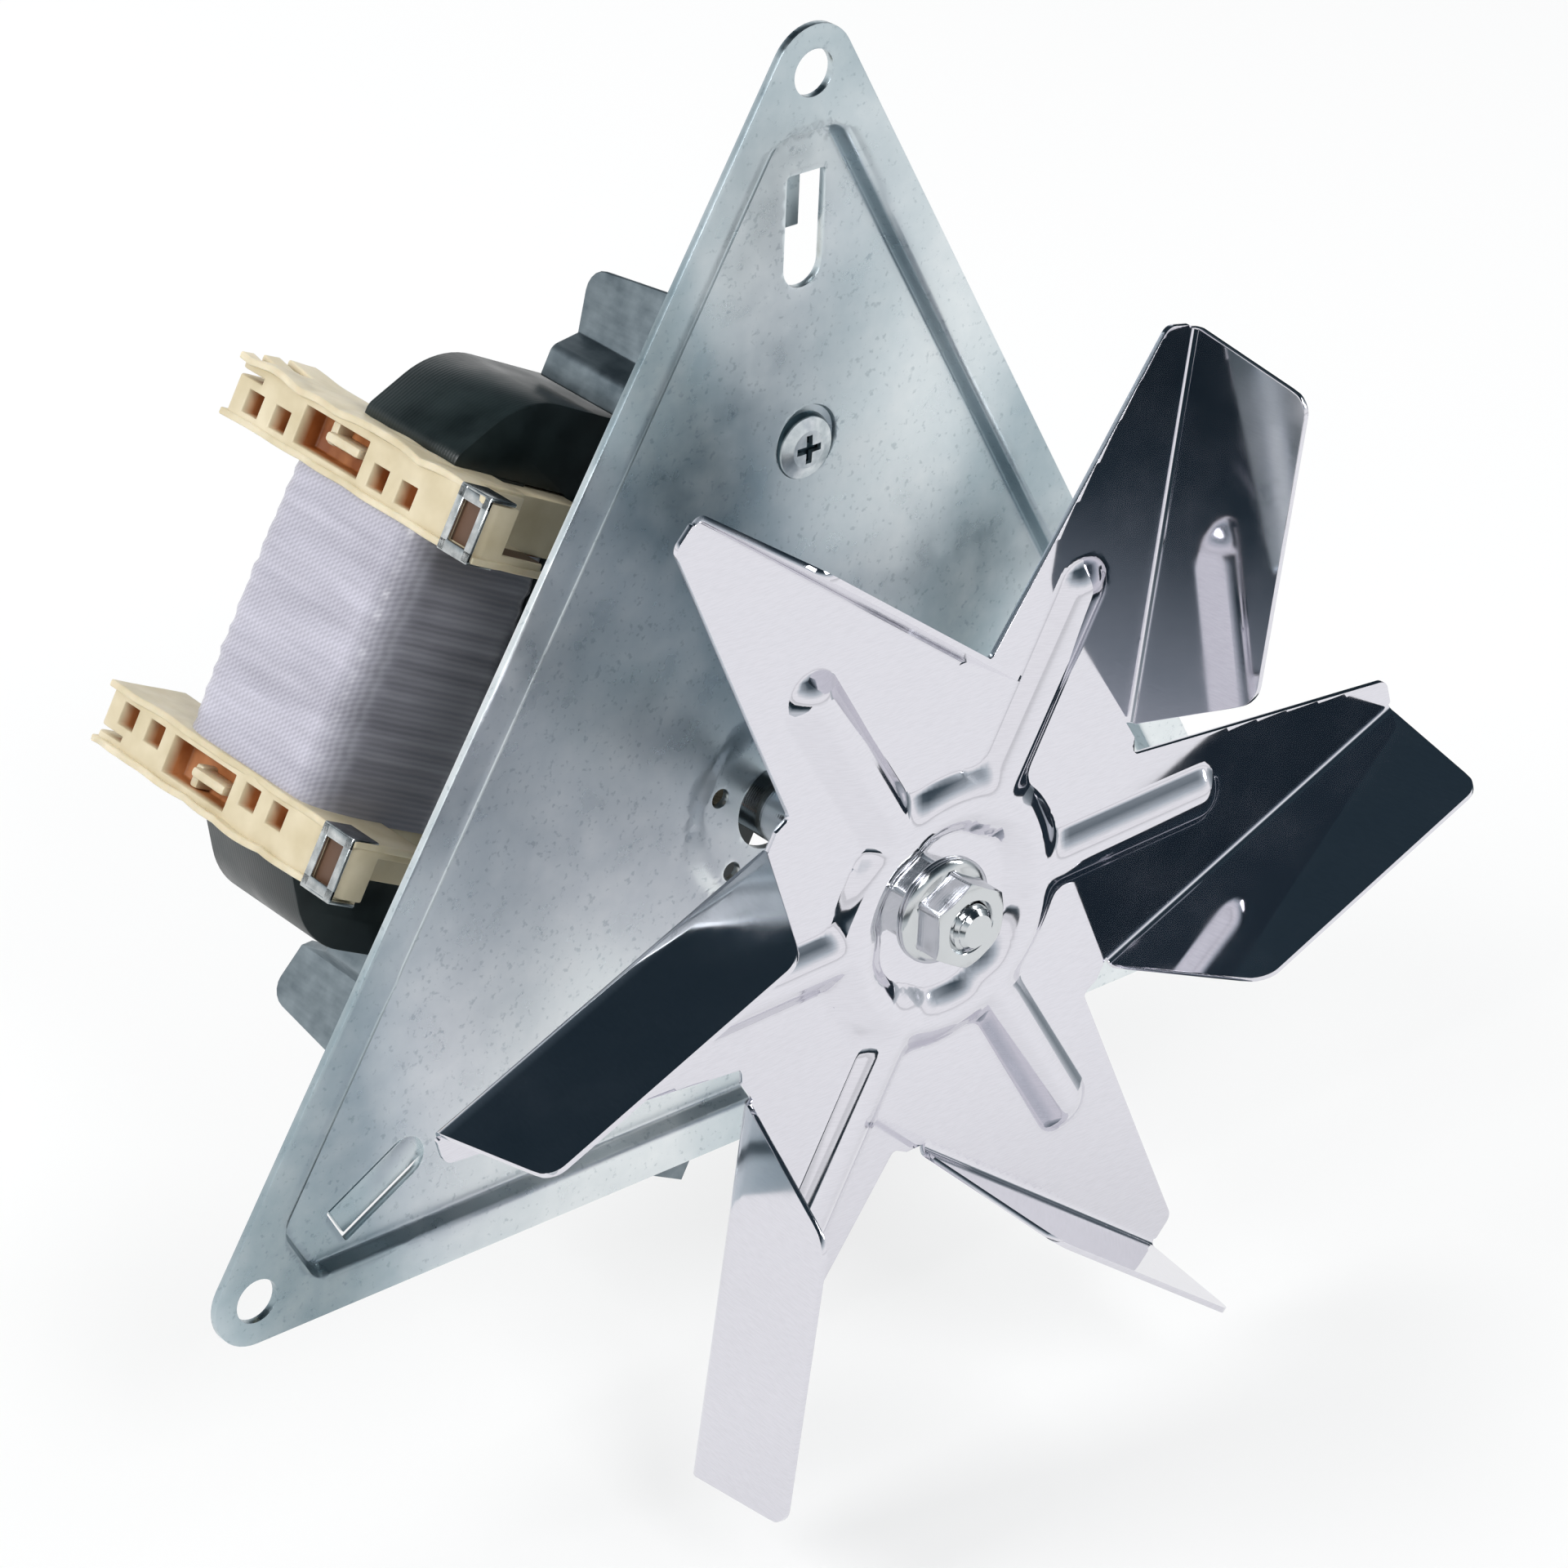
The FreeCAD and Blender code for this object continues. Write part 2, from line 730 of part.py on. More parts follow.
def side_pad(body, name, edges, low, high):
    # material across the coil direction, between two values of local X
    drawing = body.newObject("Sketcher::SketchObject", name + "_outline")
    drawing.AttachmentSupport = [(origin_plane(body, "YZ_Plane"), "")]
    drawing.MapMode = "FlatFace"
    drawing.AttachmentOffset = FreeCAD.Placement(FreeCAD.Vector(0, 0, low), FreeCAD.Rotation())
    drawing.addGeometry(edges, False)
    pad = body.newObject("PartDesign::Pad", name)
    pad.Profile = drawing
    pad.Length = high - low
    return pad


def make_front_bridge():
    body = new_body("front_bridge")
    thick = size("bridge_sheet")
    half = thick / 2.0
    web = web_front - half
    pad_level = core_front - half
    foot_level = recess_back + half
    rise = size("rotor_radius") + size("bridge_web_over")
    leg = foot_inner - half
    out = foot_outer
    path = [(foot_level, out), (foot_level, leg), (pad_level, leg), (pad_level, rise), (web, rise)]
    path = path + [(y, -z) for y, z in reversed(path)]
    wide = size("bridge_half_width")
    ear_side = size("foot_screw_side") + size("foot_screw_radius") + size("ear_gap") + size("ear_sheet")
    side_pad(body, "strap", strip(path, thick), -wide, wide)
    for sign, name in ((1.0, "high"), (-1.0, "low")):
        foot = [(foot_level, sign * out), (foot_level, sign * leg), (pad_level, sign * leg), (pad_level, sign * (leg - 6.0))]
        side_pad(body, "foot_" + name, strip(foot, thick), -ear_side, -wide)
        make_ear(body, name, sign, foot_level - half, ear_side)
    screws = [circle(-size("foot_screw_side"), s * screw_up, size("foot_screw_radius")) for s in (-1, 1)]
    cut(body, "foot_bores", screws, "0", "sizes.core_front - 4")
    clamps = [circle(0, s * clamp_offset, size("clamp_radius")) for s in (-1, 1)]
    cut(body, "clamp_bores", clamps, "sizes.core_front - 4", "sizes.core_front + 1")
    # the bush seat: a cup pressed into the web
    drawing = sketch(body, "cup_profile", "XY_Plane", None, [loop(cup_profile(web_front, -1.0))])
    cup = body.newObject("PartDesign::Revolution", "cup")
    cup.Profile = drawing
    cup.ReferenceAxis = (drawing, ["V_Axis"])
    cup.Angle = 360.0
    drawing = sketch(body, "seat_profile", "XY_Plane", None, [loop(seat_profile(web_front, -1.0))])
    seat = body.newObject("PartDesign::Groove", "seat")
    seat.Profile = drawing
    seat.ReferenceAxis = (drawing, ["V_Axis"])
    seat.Angle = 360.0
    return body


def cup_profile(level, sign):
    # wall round the bush; sign is the way the cup bulges along Y
    inner = size("bush_radius")
    outer = inner + size("cup_wall")
    depth = size("bush_length") - 1.0
    return [(0.0, level, 0), (outer, level, 0), (outer, level + sign * depth, 0), (0.0, level + sign * depth, 0)]


def seat_profile(level, sign):
    inner = size("bush_radius")
    depth = size("bush_length") + 3.0
    start = level - sign * 3.0
    return [(0.0, start, 0), (inner, start, 0), (inner, level + sign * depth, 0), (0.0, level + sign * depth, 0)]


def make_ear(body, name, sign, start, ear_side):
    # folded ear on the foot: a leaf, a sloping ledge and a short skirt beside the core
    thick = size("ear_sheet")
    side = ear_side - thick / 2.0
    top = foot_outer
    fold = core_half + size("ear_fold")
    out = side + size("ledge_out")
    low = fold - size("ledge_drop")
    path = [(-side, sign * top), (-side, sign * fold), (-out, sign * low), (-out, sign * (low - size("skirt_drop")))]
    end = start + size("ear_depth")
    drawing = body.newObject("Sketcher::SketchObject", "ear_outline_" + name)
    drawing.AttachmentSupport = [(origin_plane(body, "XZ_Plane"), "")]
    drawing.MapMode = "FlatFace"
    drawing.AttachmentOffset = FreeCAD.Placement(FreeCAD.Vector(0, 0, -end), FreeCAD.Rotation())
    drawing.addGeometry(strip(path, thick), False)
    pad = body.newObject("PartDesign::Pad", "ear_" + name)
    pad.Profile = drawing
    pad.setExpression("Length", "sizes.ear_depth")
    # the leaf tapers towards the back, where its corner is trimmed
    trim = size("ear_corner")
    taper = top - size("ear_taper")
    bottom = low - size("skirt_drop") - thick
    corner = [(end - size("ear_taper_run"), sign * top, 0), (end - trim, sign * taper, 0),
              (end, sign * (taper - trim), 0)]
    if sign > 0:
        # on the upper foot the ledge and skirt stop short of the leaf
        step = end - size("ear_step")
        corner = corner + [(step, fold, 0), (step, bottom, 0), (end + 1.0, bottom, 0)]
    else:
        corner = corner + [(end + 1.0, sign * (taper - trim), 0)]
    corner = corner + [(end + 1.0, sign * (top + 1.0), 0), (end - size("ear_taper_run"), sign * (top + 1.0), 0)]
    drawing = body.newObject("Sketcher::SketchObject", "ear_trim_" + name)
    drawing.AttachmentSupport = [(origin_plane(body, "YZ_Plane"), "")]
    drawing.MapMode = "FlatFace"
    drawing.AttachmentOffset = FreeCAD.Placement(FreeCAD.Vector(0, 0, -side + thick), FreeCAD.Rotation())
    drawing.addGeometry(loop(corner), False)
    pocket = body.newObject("PartDesign::Pocket", "ear_corner_" + name)
    pocket.Profile = drawing
    pocket.Length = size("ledge_out") + 3.0 * thick


keep("front_bridge", make_front_bridge(), motor_place)


# Rear bridge: a hat-shaped strap over the back of the rotor
def make_rear_bridge():
    body = new_body("rear_bridge")
    thick = size("bridge_sheet")
    half = thick / 2.0
    web = web_back + half
    pad_level = core_back + half
    rise = size("rotor_radius") + size("bridge_web_over")
    path = [(pad_level, core_half - 1.0), (pad_level, rise), (web, rise - 3.0)]
    path = path + [(y, -z) for y, z in reversed(path)]
    wide = size("bridge_half_width") - 2.0
    side_pad(body, "strap", strip(path, thick), -wide, wide)
    clamps = [circle(0, s * clamp_offset, size("clamp_radius")) for s in (-1, 1)]
    back = "sizes.core_front + sizes.core_stack"
    cut(body, "clamp_bores", clamps, back + " - 1", back + " + 4")
    drawing = sketch(body, "cup_profile", "XY_Plane", None, [loop(cup_profile(web_back, 1.0))])
    cup = body.newObject("PartDesign::Revolution", "cup")
    cup.Profile = drawing
    cup.ReferenceAxis = (drawing, ["V_Axis"])
    cup.Angle = 360.0
    drawing = sketch(body, "seat_profile", "XY_Plane", None, [loop(seat_profile(web_back, 1.0))])
    seat = body.newObject("PartDesign::Groove", "seat")
    seat.Profile = drawing
    seat.ReferenceAxis = (drawing, ["V_Axis"])
    seat.Angle = 360.0
    return body


keep("rear_bridge", make_rear_bridge(), motor_place)


# Bushes: sintered rings pressed into the cups
def make_bush(label, middle):
    radius = size("bush_radius")
    bore = size("shaft_radius") + size("running_gap")
    half = size("bush_length") / 2.0
    return turned(label, [(bore, middle - half), (radius, middle - half), (radius, middle + half), (bore, middle + half)])


front_bush_middle = web_front - size("bush_length") / 2.0
rear_bush_middle = web_back + size("bush_length") / 2.0
keep("front_bush", make_bush("front_bush", front_bush_middle), motor_place)
keep("rear_bush", make_bush("rear_bush", rear_bush_middle), motor_place)


# Clamp screws through the core, and their nuts
def make_clamp_screws():
    pieces = []
    for number, sign in enumerate((1.0, -1.0), start=1):
        head_base = core_front - size("bridge_sheet")
        tip = core_back + size("bridge_sheet") + size("nut_height") + 1.5
        radius = size("clamp_radius")
        head = size("clamp_head")
        top = head_base - size("clamp_head_height")
        profile = [(0, top), (head * 0.8, top), (head, top + 0.8), (head, head_base), (radius, head_base),
                   (radius, tip - 0.6), (radius - 0.6, tip), (0, tip)]
        body = turned("clamp_screw_%d" % number, profile)
        body.Placement.Base = FreeCAD.Vector(0, 0, sign * clamp_offset)
        pieces.append(body)
    return pieces


def make_clamp_nuts():
    pieces = []
    for number, sign in enumerate((1.0, -1.0), start=1):
        body = new_body("clamp_nut_%d" % number)
        base = "sizes.core_front + sizes.core_stack + sizes.bridge_sheet"
        loops = [hexagon(size("nut_flats")), circle(0, 0, size("clamp_radius"))]
        slab(body, "nut_%d" % number, loops, base, base + " + sizes.nut_height")
        body.Placement.Base = FreeCAD.Vector(0, 0, sign * clamp_offset)
        pieces.append(body)
    return pieces


group("clamp_screws", make_clamp_screws(), motor_place)
group("clamp_nuts", make_clamp_nuts(), motor_place)


# Foot screws: cross-recess heads in the plate's dimples
def make_foot_screws():
    pieces = []
    seat = recess_floor + size("dimple_depth")
    for number, (x, z) in enumerate(screw_spots(), start=1):
        radius = size("foot_screw_radius")
        head = size("foot_screw_head")
        top = seat - size("foot_screw_head_height")
        tip = seat + size("foot_screw_length")
        profile = [(0, top), (head * 0.55, top + 0.1), (head * 0.9, top + 0.6), (head, seat), (radius, seat),
                   (radius, tip - 0.8), (radius - 0.7, tip), (0, tip)]
        body = turned("foot_screw_%d" % number, profile)
        arm = head * 0.42
        slot = 0.45
        cross = [(arm, slot), (slot, slot), (slot, arm), (-slot, arm), (-slot, slot), (-arm, slot),
                 (-arm, -slot), (-slot, -slot), (-slot, -arm), (slot, -arm), (slot, -slot), (arm, -slot)]
        recess = sketch(body, "recess_outline", "XZ_Plane", None, [loop([(a, b, 0.0) for a, b in cross])])
        recess.AttachmentOffset = FreeCAD.Placement(FreeCAD.Vector(0, 0, -(top - 0.5)), FreeCAD.Rotation())
        pocket = body.newObject("PartDesign::Pocket", "recess")
        pocket.Profile = recess
        pocket.Length = 1.5
        body.Placement.Base = FreeCAD.Vector(x, 0, z)
        pieces.append(body)
    return pieces


group("foot_screws", make_foot_screws())


# Rotor: laminations with cast bars, and the end rings that join them
def bar_outlines():
    # cast bars with six flat sides, evenly round the rotor
    count = int(size("bar_count"))
    outlines = []
    for k in range(count):
        x, z = polar(bar_circle, 360.0 * k / count)
        corners = [polar(size("bar_radius"), 60.0 * j + 360.0 * k / count) for j in range(6)]
        outlines.append(loop([(x + a, z + b, 0.0) for a, b in corners]))
    return outlines


def make_rotor_core():
    body = new_body("rotor_core")
    loops = [circle(0, 0, size("rotor_radius")), circle(0, 0, size("shaft_radius"))]
    back = "sizes.core_front + sizes.core_stack"
    slab(body, "stack", loops, "sizes.core_front", back)
    cut(body, "bar_holes", bar_outlines(), "sizes.core_front - 1", back + " + 1")
    return body


def make_cage():
    body = new_body("rotor_cage")
    back = "sizes.core_front + sizes.core_stack"
    rim = size("rotor_radius") - size("fit_gap")
    ring = [circle(0, 0, rim), circle(0, 0, rim - size("end_ring_width"))]
    slab(body, "front_ring", ring, "sizes.core_front - sizes.end_ring_build", "sizes.core_front")
    slab(body, "bars", bar_outlines(), "sizes.core_front - 0.1", back + " + 0.1")
    slab(body, "back_ring", ring, back, back + " + sizes.end_ring_build")
    return body


keep("rotor_core", make_rotor_core(), motor_place)
keep("rotor_cage", make_cage(), motor_place)


# Shaft: turned, with a shoulder and a stud for the impeller
stud_end = fan_front - size("fan_nut_height") - size("stud_proud")
shoulder = fan_back + size("washer_build")


def make_shaft():
    radius = size("shaft_radius")
    stud = size("stud_radius")
    tail = size("shaft_tail")
    profile = [
        (0, stud_end), (stud - 0.6, stud_end), (stud, stud_end + 0.6), (stud, shoulder), (radius, shoulder),
        (radius, tail - 0.6), (radius - 0.6, tail), (0, tail),
    ]
    return turned("shaft", profile)


keep("shaft", make_shaft(), shaft_place)


# Washers on the shaft: behind the impeller, and beside both bushes
def make_washer(label, inner, outer, low, high):
    return turned(label, [(inner, low), (outer, low), (outer, high), (inner, high)])


back_washer = make_washer("impeller_washer", size("stud_radius"), size("washer_radius") + 2.5, fan_back, shoulder)
keep("impeller_washer", back_washer, shaft_place)
thrust = [
    make_washer("thrust_washer_1", size("shaft_radius"), size("washer_radius"),
                web_front + 0.3, web_front + 0.3 + size("washer_build")),
    make_washer("thrust_washer_2", size("shaft_radius"), size("washer_radius"),
                web_back - 0.3 - size("washer_build"), web_back - 0.3),
]
group("thrust_washers", thrust, motor_place)


# Impeller: one stamped sheet with folded blades and pressed ribs
def fan_outline():
    corners = []
    for k in range(BLADES):
        turn = 60.0 * k
        corners.append(polar(size("fan_fold_inner"), size("fold_angle") + turn) + (0.4,))
        corners.append(polar(size("fan_radius"), size("tip_angle") + turn) + (0.6,))
        corners.append(polar(size("fan_radius") - 1.4, size("tip_back_angle") + turn) + (1.6,))
        corners.append(polar(size("fan_root"), size("root_angle") + turn) + (0.8,))
    return loop(corners)


def fold_frame():
    # the first blade's fold: its start, and the directions along and up the leaf
    ix, iz = polar(size("fan_fold_inner"), size("fold_angle"))
    ox, oz = polar(size("fan_radius"), size("tip_angle"))
    start = FreeCAD.Vector(ix, fan_front, iz)
    along = FreeCAD.Vector(ox - ix, 0, oz - iz)
    length = along.Length
    along.normalize()
    outward = FreeCAD.Vector(along.z, 0, -along.x)
    lean = math.radians(size("blade_lean"))
    up = outward * math.cos(lean) + FreeCAD.Vector(0, -math.sin(lean), 0)
    return start, along, up, length


def make_fan_blank():
    body = new_body("impeller_blank")
    hub = circle(0, 0, size("stud_radius"))
    slab(body, "star", [fan_outline(), hub], "-sizes.fan_plane", "sizes.fan_sheet - sizes.fan_plane")
    start, along, up, length = fold_frame()
    drawing = body.newObject("Sketcher::SketchObject", "leaf_outline")
    drawing.AttachmentSupport = [(origin_plane(body, "XZ_Plane"), "")]
    drawing.MapMode = "FlatFace"
    base = FreeCAD.Placement(FreeCAD.Vector(0, 0, 0), FreeCAD.Rotation(FreeCAD.Vector(1, 0, 0), 90))
    normal = along.cross(up)
    wanted = FreeCAD.Placement(start, FreeCAD.Rotation(along, up, normal, "XYZ"))
    drawing.AttachmentOffset = base.inverse().multiply(wanted)
    tall = size("blade_height")
    sunk = -size("fan_sheet")
    corner = size("blade_corner")
    leaf = [
        (0, sunk, 0), (length, sunk, 0), (length, 0, 0), (length - size("blade_tip_cut"), tall, corner),
        (size("blade_root_cut"), tall, corner), (0, 0.4, 0.2),
    ]
    drawing.addGeometry(loop(leaf), False)
    pad = body.newObject("PartDesign::Pad", "leaf")
    pad.Profile = drawing
    pad.setExpression("Length", "sizes.fan_sheet")
    petal_side = FreeCAD.Vector(-along.z, 0, along.x)
    pad.Reversed = normal.dot(petal_side) < 0
    around(body, "leaves", [pad], "Y_Axis", BLADES)
    return body


def rib_half(height, skin):
    # half the rib's width at a height over the sheet's front face
    slope = size("rib_slope")
    return size("rib_half") - slope * height - skin * math.sqrt(1.0 + slope * slope)


def rib_bar(half):
    # one radial rib: square at the hub ring, round at its outer end
    near = size("rib_ring")
    far = size("rib_end") + half
    outline = [(near, -half, 0.0), (far, -half, half * 0.98), (far, half, half * 0.98), (near, half, 0.0)]
    return loop([turned_point(r, t, size("rib_turn")) + (c,) for r, t, c in outline])


def press_ribs(body, name, skin, bar_kind, ring_kind):
    # the outer form adds metal, the inner form hollows it from behind
    low = -skin
    high = size("rib_height") - skin
    first = sketch(body, name + "_foot", "XZ_Plane", "%f" % (fan_front - low), [rib_bar(rib_half(low, skin))])
    last = sketch(body, name + "_crown", "XZ_Plane", "%f" % (fan_front - high), [rib_bar(rib_half(high, skin))])
    bar = body.newObject(bar_kind, name + "_bar")
    bar.Profile = first
    bar.Sections = [last]
    bar.Ruled = True
    around(body, name + "_bars", [bar], "Y_Axis", BLADES)
    ring = size("rib_ring")
    wide = rib_half(low, skin)
    narrow = rib_half(high, skin)
    corners = [(ring - wide, fan_front - low, 0.0), (ring + wide, fan_front - low, 0.0),
               (ring + narrow, fan_front - high, 0.0), (ring - narrow, fan_front - high, 0.0)]
    drawing = sketch(body, name + "_profile", "XY_Plane", None, [loop(corners)])
    spin = body.newObject(ring_kind, name + "_ring")
    spin.Profile = drawing
    spin.ReferenceAxis = (drawing, ["V_Axis"])
    spin.Angle = 360.0


def make_impeller():
    body = make_fan_blank()
    press_ribs(body, "rib_outer", 0.0, "PartDesign::AdditiveLoft", "PartDesign::Revolution")
    press_ribs(body, "rib_inner", size("fan_sheet"), "PartDesign::SubtractiveLoft", "PartDesign::Groove")
    body.Label = "impeller"
    return body


keep("impeller", make_impeller(), shaft_place)


# Impeller nut: a hexagon on a round flange
def make_fan_nut():
    body = new_body("impeller_nut")
    bore = size("stud_radius")
    level = "-sizes.fan_plane"
    slab(body, "flange", [circle(0, 0, size("fan_nut_flange")), circle(0, 0, bore)],
         level + " - sizes.fan_nut_flange_height", level)
    slab(body, "hexagon", [hexagon(size("fan_nut_flats")), circle(0, 0, bore)],
         level + " - sizes.fan_nut_height", level + " - sizes.fan_nut_flange_height + 0.1")
    return body


keep("impeller_nut", make_fan_nut(), shaft_place)


# Felt rings round the bushes, held in the cups
def make_felts():
    pieces = []
    inner = size("shaft_radius") + 0.5
    outer = size("bush_radius")
    for number, (bush_end, sign) in enumerate(((front_bush_middle, -1.0), (rear_bush_middle, 1.0)), start=1):
        start = bush_end + sign * (size("bush_length") / 2.0)
        stop = start + sign * size("felt_build")
        low = min(start, stop)
        high = max(start, stop)
        pieces.append(turned("felt_ring_%d" % number, [(inner, low), (outer, low), (outer, high), (inner, high)]))
    return pieces


group("felt_rings", make_felts(), motor_place)

# Build, check and write every piece
doc.recompute()
faults = []
for thing in doc.Objects:
    if "Invalid" in thing.State or "Error" in thing.State:
        faults.append("%s is %s" % (thing.Name, thing.State))
for label, piece in nodes.items():
    if piece.Shape.isNull() or not piece.Shape.isValid():
        faults.append(label + " has no valid shape")
if faults:
    raise RuntimeError("; ".join(faults))
os.makedirs("parts", exist_ok=True)
for label, piece in nodes.items():
    piece.Shape.exportStep("parts/%s.step" % label)
    print(label, len(piece.Shape.Solids), "solids, volume", round(piece.Shape.Volume, 1))
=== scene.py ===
import bmesh
import bpy
import math
from functools import partial
from mathutils import Matrix, Vector, noise


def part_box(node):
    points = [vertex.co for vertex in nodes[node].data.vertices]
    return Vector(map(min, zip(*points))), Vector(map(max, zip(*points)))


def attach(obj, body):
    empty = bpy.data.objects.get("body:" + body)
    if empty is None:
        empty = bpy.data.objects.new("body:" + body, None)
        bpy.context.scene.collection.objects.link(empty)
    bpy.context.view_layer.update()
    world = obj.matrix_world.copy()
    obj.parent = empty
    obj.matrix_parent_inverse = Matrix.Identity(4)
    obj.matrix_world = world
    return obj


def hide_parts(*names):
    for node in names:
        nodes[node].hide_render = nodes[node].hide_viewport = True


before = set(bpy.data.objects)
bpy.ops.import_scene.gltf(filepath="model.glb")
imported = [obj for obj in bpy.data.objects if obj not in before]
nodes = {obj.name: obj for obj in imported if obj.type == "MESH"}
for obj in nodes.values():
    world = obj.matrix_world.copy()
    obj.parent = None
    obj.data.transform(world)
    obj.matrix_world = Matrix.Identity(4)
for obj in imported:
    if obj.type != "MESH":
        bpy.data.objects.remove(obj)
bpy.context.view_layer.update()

mm = 0.001
shaftDrop = -5.65  # height of the shaft under the middle of the plate's holes
motorTurn = 27.0
print("frame loaded")


# helpers for places and meshes

def polar(radius, degrees):
    angle = math.radians(degrees)
    return radius * math.cos(angle), radius * math.sin(angle)


def flatDirection(degrees):
    across, up = polar(1.0, degrees)
    return Vector((across, 0, up))


def motorPlace():
    # from the motor's own frame, in mm, to the row frame in metres
    drop = Matrix.Translation((0, 0, shaftDrop * mm))
    return drop @ Matrix.Rotation(math.radians(motorTurn), 4, "Y") @ Matrix.Scale(mm, 4)


def shaftPlace():
    return Matrix.Translation((0, 0, shaftDrop * mm)) @ Matrix.Scale(mm, 4)


def rowPlace():
    return Matrix.Scale(mm, 4)


def newObject(name, bm):
    mesh = bpy.data.meshes.new(name)
    bm.to_mesh(mesh)
    bm.free()
    thing = bpy.data.objects.new(name, mesh)
    bpy.context.scene.collection.objects.link(thing)
    return thing


def shadeSharp(mesh, degrees):
    # smooth, with hard edges where faces meet at more than this
    mesh.shade_smooth()
    mesh.set_sharp_from_angle(angle=math.radians(degrees))


def newPiece(name, bm, place, material, body, replaced=(), sharp=35.0):
    # a finished mesh at its place, riding on a body
    bmesh.ops.transform(bm, matrix=place, verts=bm.verts)
    piece = newObject(name, bm)
    piece.data.materials.append(material)
    shadeSharp(piece.data, sharp)
    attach(piece, body)
    if replaced:
        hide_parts(*replaced)
    return piece


def applyModifiers(piece, sharp=35.0):
    graph = bpy.context.evaluated_depsgraph_get()
    mesh = bpy.data.meshes.new_from_object(piece.evaluated_get(graph))
    piece.modifiers.clear()
    piece.data = mesh
    shadeSharp(mesh, sharp)
    return piece


def addBevel(piece, width, segments=2, limit=40.0):
    bevel = piece.modifiers.new("edgeRounding", "BEVEL")
    bevel.width = width * mm
    bevel.segments = segments
    bevel.limit_method = "ANGLE"
    bevel.angle_limit = math.radians(limit)
    bevel.harden_normals = False
    return bevel


def addWall(piece, thickness, offset=-1.0, even=False):
    wall = piece.modifiers.new("sheet", "SOLIDIFY")
    wall.thickness = thickness * mm
    wall.offset = offset
    wall.use_even_offset = even


def cadCopy(name, node, material):
    # a merged copy of a stator node, to be changed and shown in its place
    bm = bmesh.new()
    bm.from_mesh(nodes[node].data)
    bmesh.ops.remove_doubles(bm, verts=bm.verts, dist=0.002 * mm)
    bmesh.ops.dissolve_limit(bm, angle_limit=math.radians(1.0), verts=bm.verts, edges=bm.edges)
    return newPiece(name, bm, Matrix.Identity(4), material, "stator", (node,))


def softenedCopy(name, node, width, material, limit=35.0):
    # the CAD solid with its sharp edges rounded
    piece = cadCopy(name, node, material)
    addBevel(piece, width, 2, limit)
    return applyModifiers(piece, 30.0)


def joinPart(bm, part):
    # adds one mesh in the making to another
    scratch = bpy.data.meshes.new("partScratch")
    part.to_mesh(scratch)
    part.free()
    bm.from_mesh(scratch)
    bpy.data.meshes.remove(scratch)


def roundOff(bm, items, offset, segments, affect="EDGES"):
    bmesh.ops.bevel(bm, geom=items, offset=offset, segments=segments, profile=0.5, affect=affect, material=-1)


def startRing(bm, segments, radius):
    # a ring of points round the Y axis
    verts = bmesh.ops.create_circle(bm, cap_ends=False, segments=segments, radius=radius)["verts"]
    bmesh.ops.rotate(bm, verts=verts, cent=(0, 0, 0), matrix=Matrix.Rotation(math.radians(90.0), 3, "X"))
    return verts


def extrudeRow(bm, row):
    # a new row of edges drawn out of an open one, and its points
    made = bmesh.ops.extrude_edge_only(bm, edges=row)["geom"]
    return ([item for item in made if isinstance(item, bmesh.types.BMEdge)],
            [item for item in made if isinstance(item, bmesh.types.BMVert)])


def cutAcross(bm, direction, offset):
    geometry = bm.verts[:] + bm.edges[:] + bm.faces[:]
    bmesh.ops.bisect_plane(bm, geom=geometry, dist=0.0005, plane_co=direction * offset, plane_no=direction)


def sliceSheet(bm, families, spacing, reach):
    # parallel cuts through a flat sheet, so that it can be pressed into shape
    for degrees in families:
        direction = flatDirection(degrees)
        count = int(reach / spacing)
        for step in range(-count, count + 1):
            cutAcross(bm, direction, step * spacing)


def addLoop(bm, points):
    # a closed outline in the plane y 0, from its (x, z) points
    verts = [bm.verts.new((x, 0.0, z)) for x, z in points]
    return verts, [bm.edges.new((verts[i - 1], verts[i])) for i in range(len(verts))]


def ringPoints(x, z, radius, count):
    spokes = [polar(radius, 360.0 * i / count) for i in range(count)]
    return [(x + across, z + up) for across, up in spokes]


def roundedPoints(corners, steps=6):
    # closed outline with rounded corners, from (x, z, radius)
    points = []
    for i, (x, z, radius) in enumerate(corners):
        here = Vector((x, z))
        before = Vector(corners[i - 1][:2]) - here
        after = Vector(corners[(i + 1) % len(corners)][:2]) - here
        if radius <= 0:
            points.append((x, z))
            continue
        half = before.angle(after) / 2.0
        reach = min(radius / math.tan(half), 0.49 * before.length, 0.49 * after.length)
        radius = reach * math.tan(half)
        before.normalize()
        after.normalize()
        centre = here + (before + after).normalized() * (radius / math.sin(half))
        first = here + before * reach - centre
        last = here + after * reach - centre
        turn = first.angle_signed(last)
        for step in range(steps + 1):
            spoke = first.copy()
            spoke.rotate(Matrix.Rotation(-turn * step / steps, 2))
            points.append(tuple(centre + spoke))
    return points


def smoothStep(value):
    value = max(0.0, min(1.0, value))
    return value * value * (3.0 - 2.0 * value)


def smoothMin(a, b, blend):
    mix = max(blend - abs(a - b), 0.0) / blend
    return min(a, b) - mix * mix * blend * 0.25


# materials

def linear(code):
    values = []
    for start in (0, 2, 4):
        part = int(code[start:start + 2], 16) / 255.0
        values.append(part / 12.92 if part <= 0.04045 else ((part + 0.055) / 1.055) ** 2.4)
    return (*values, 1.0)


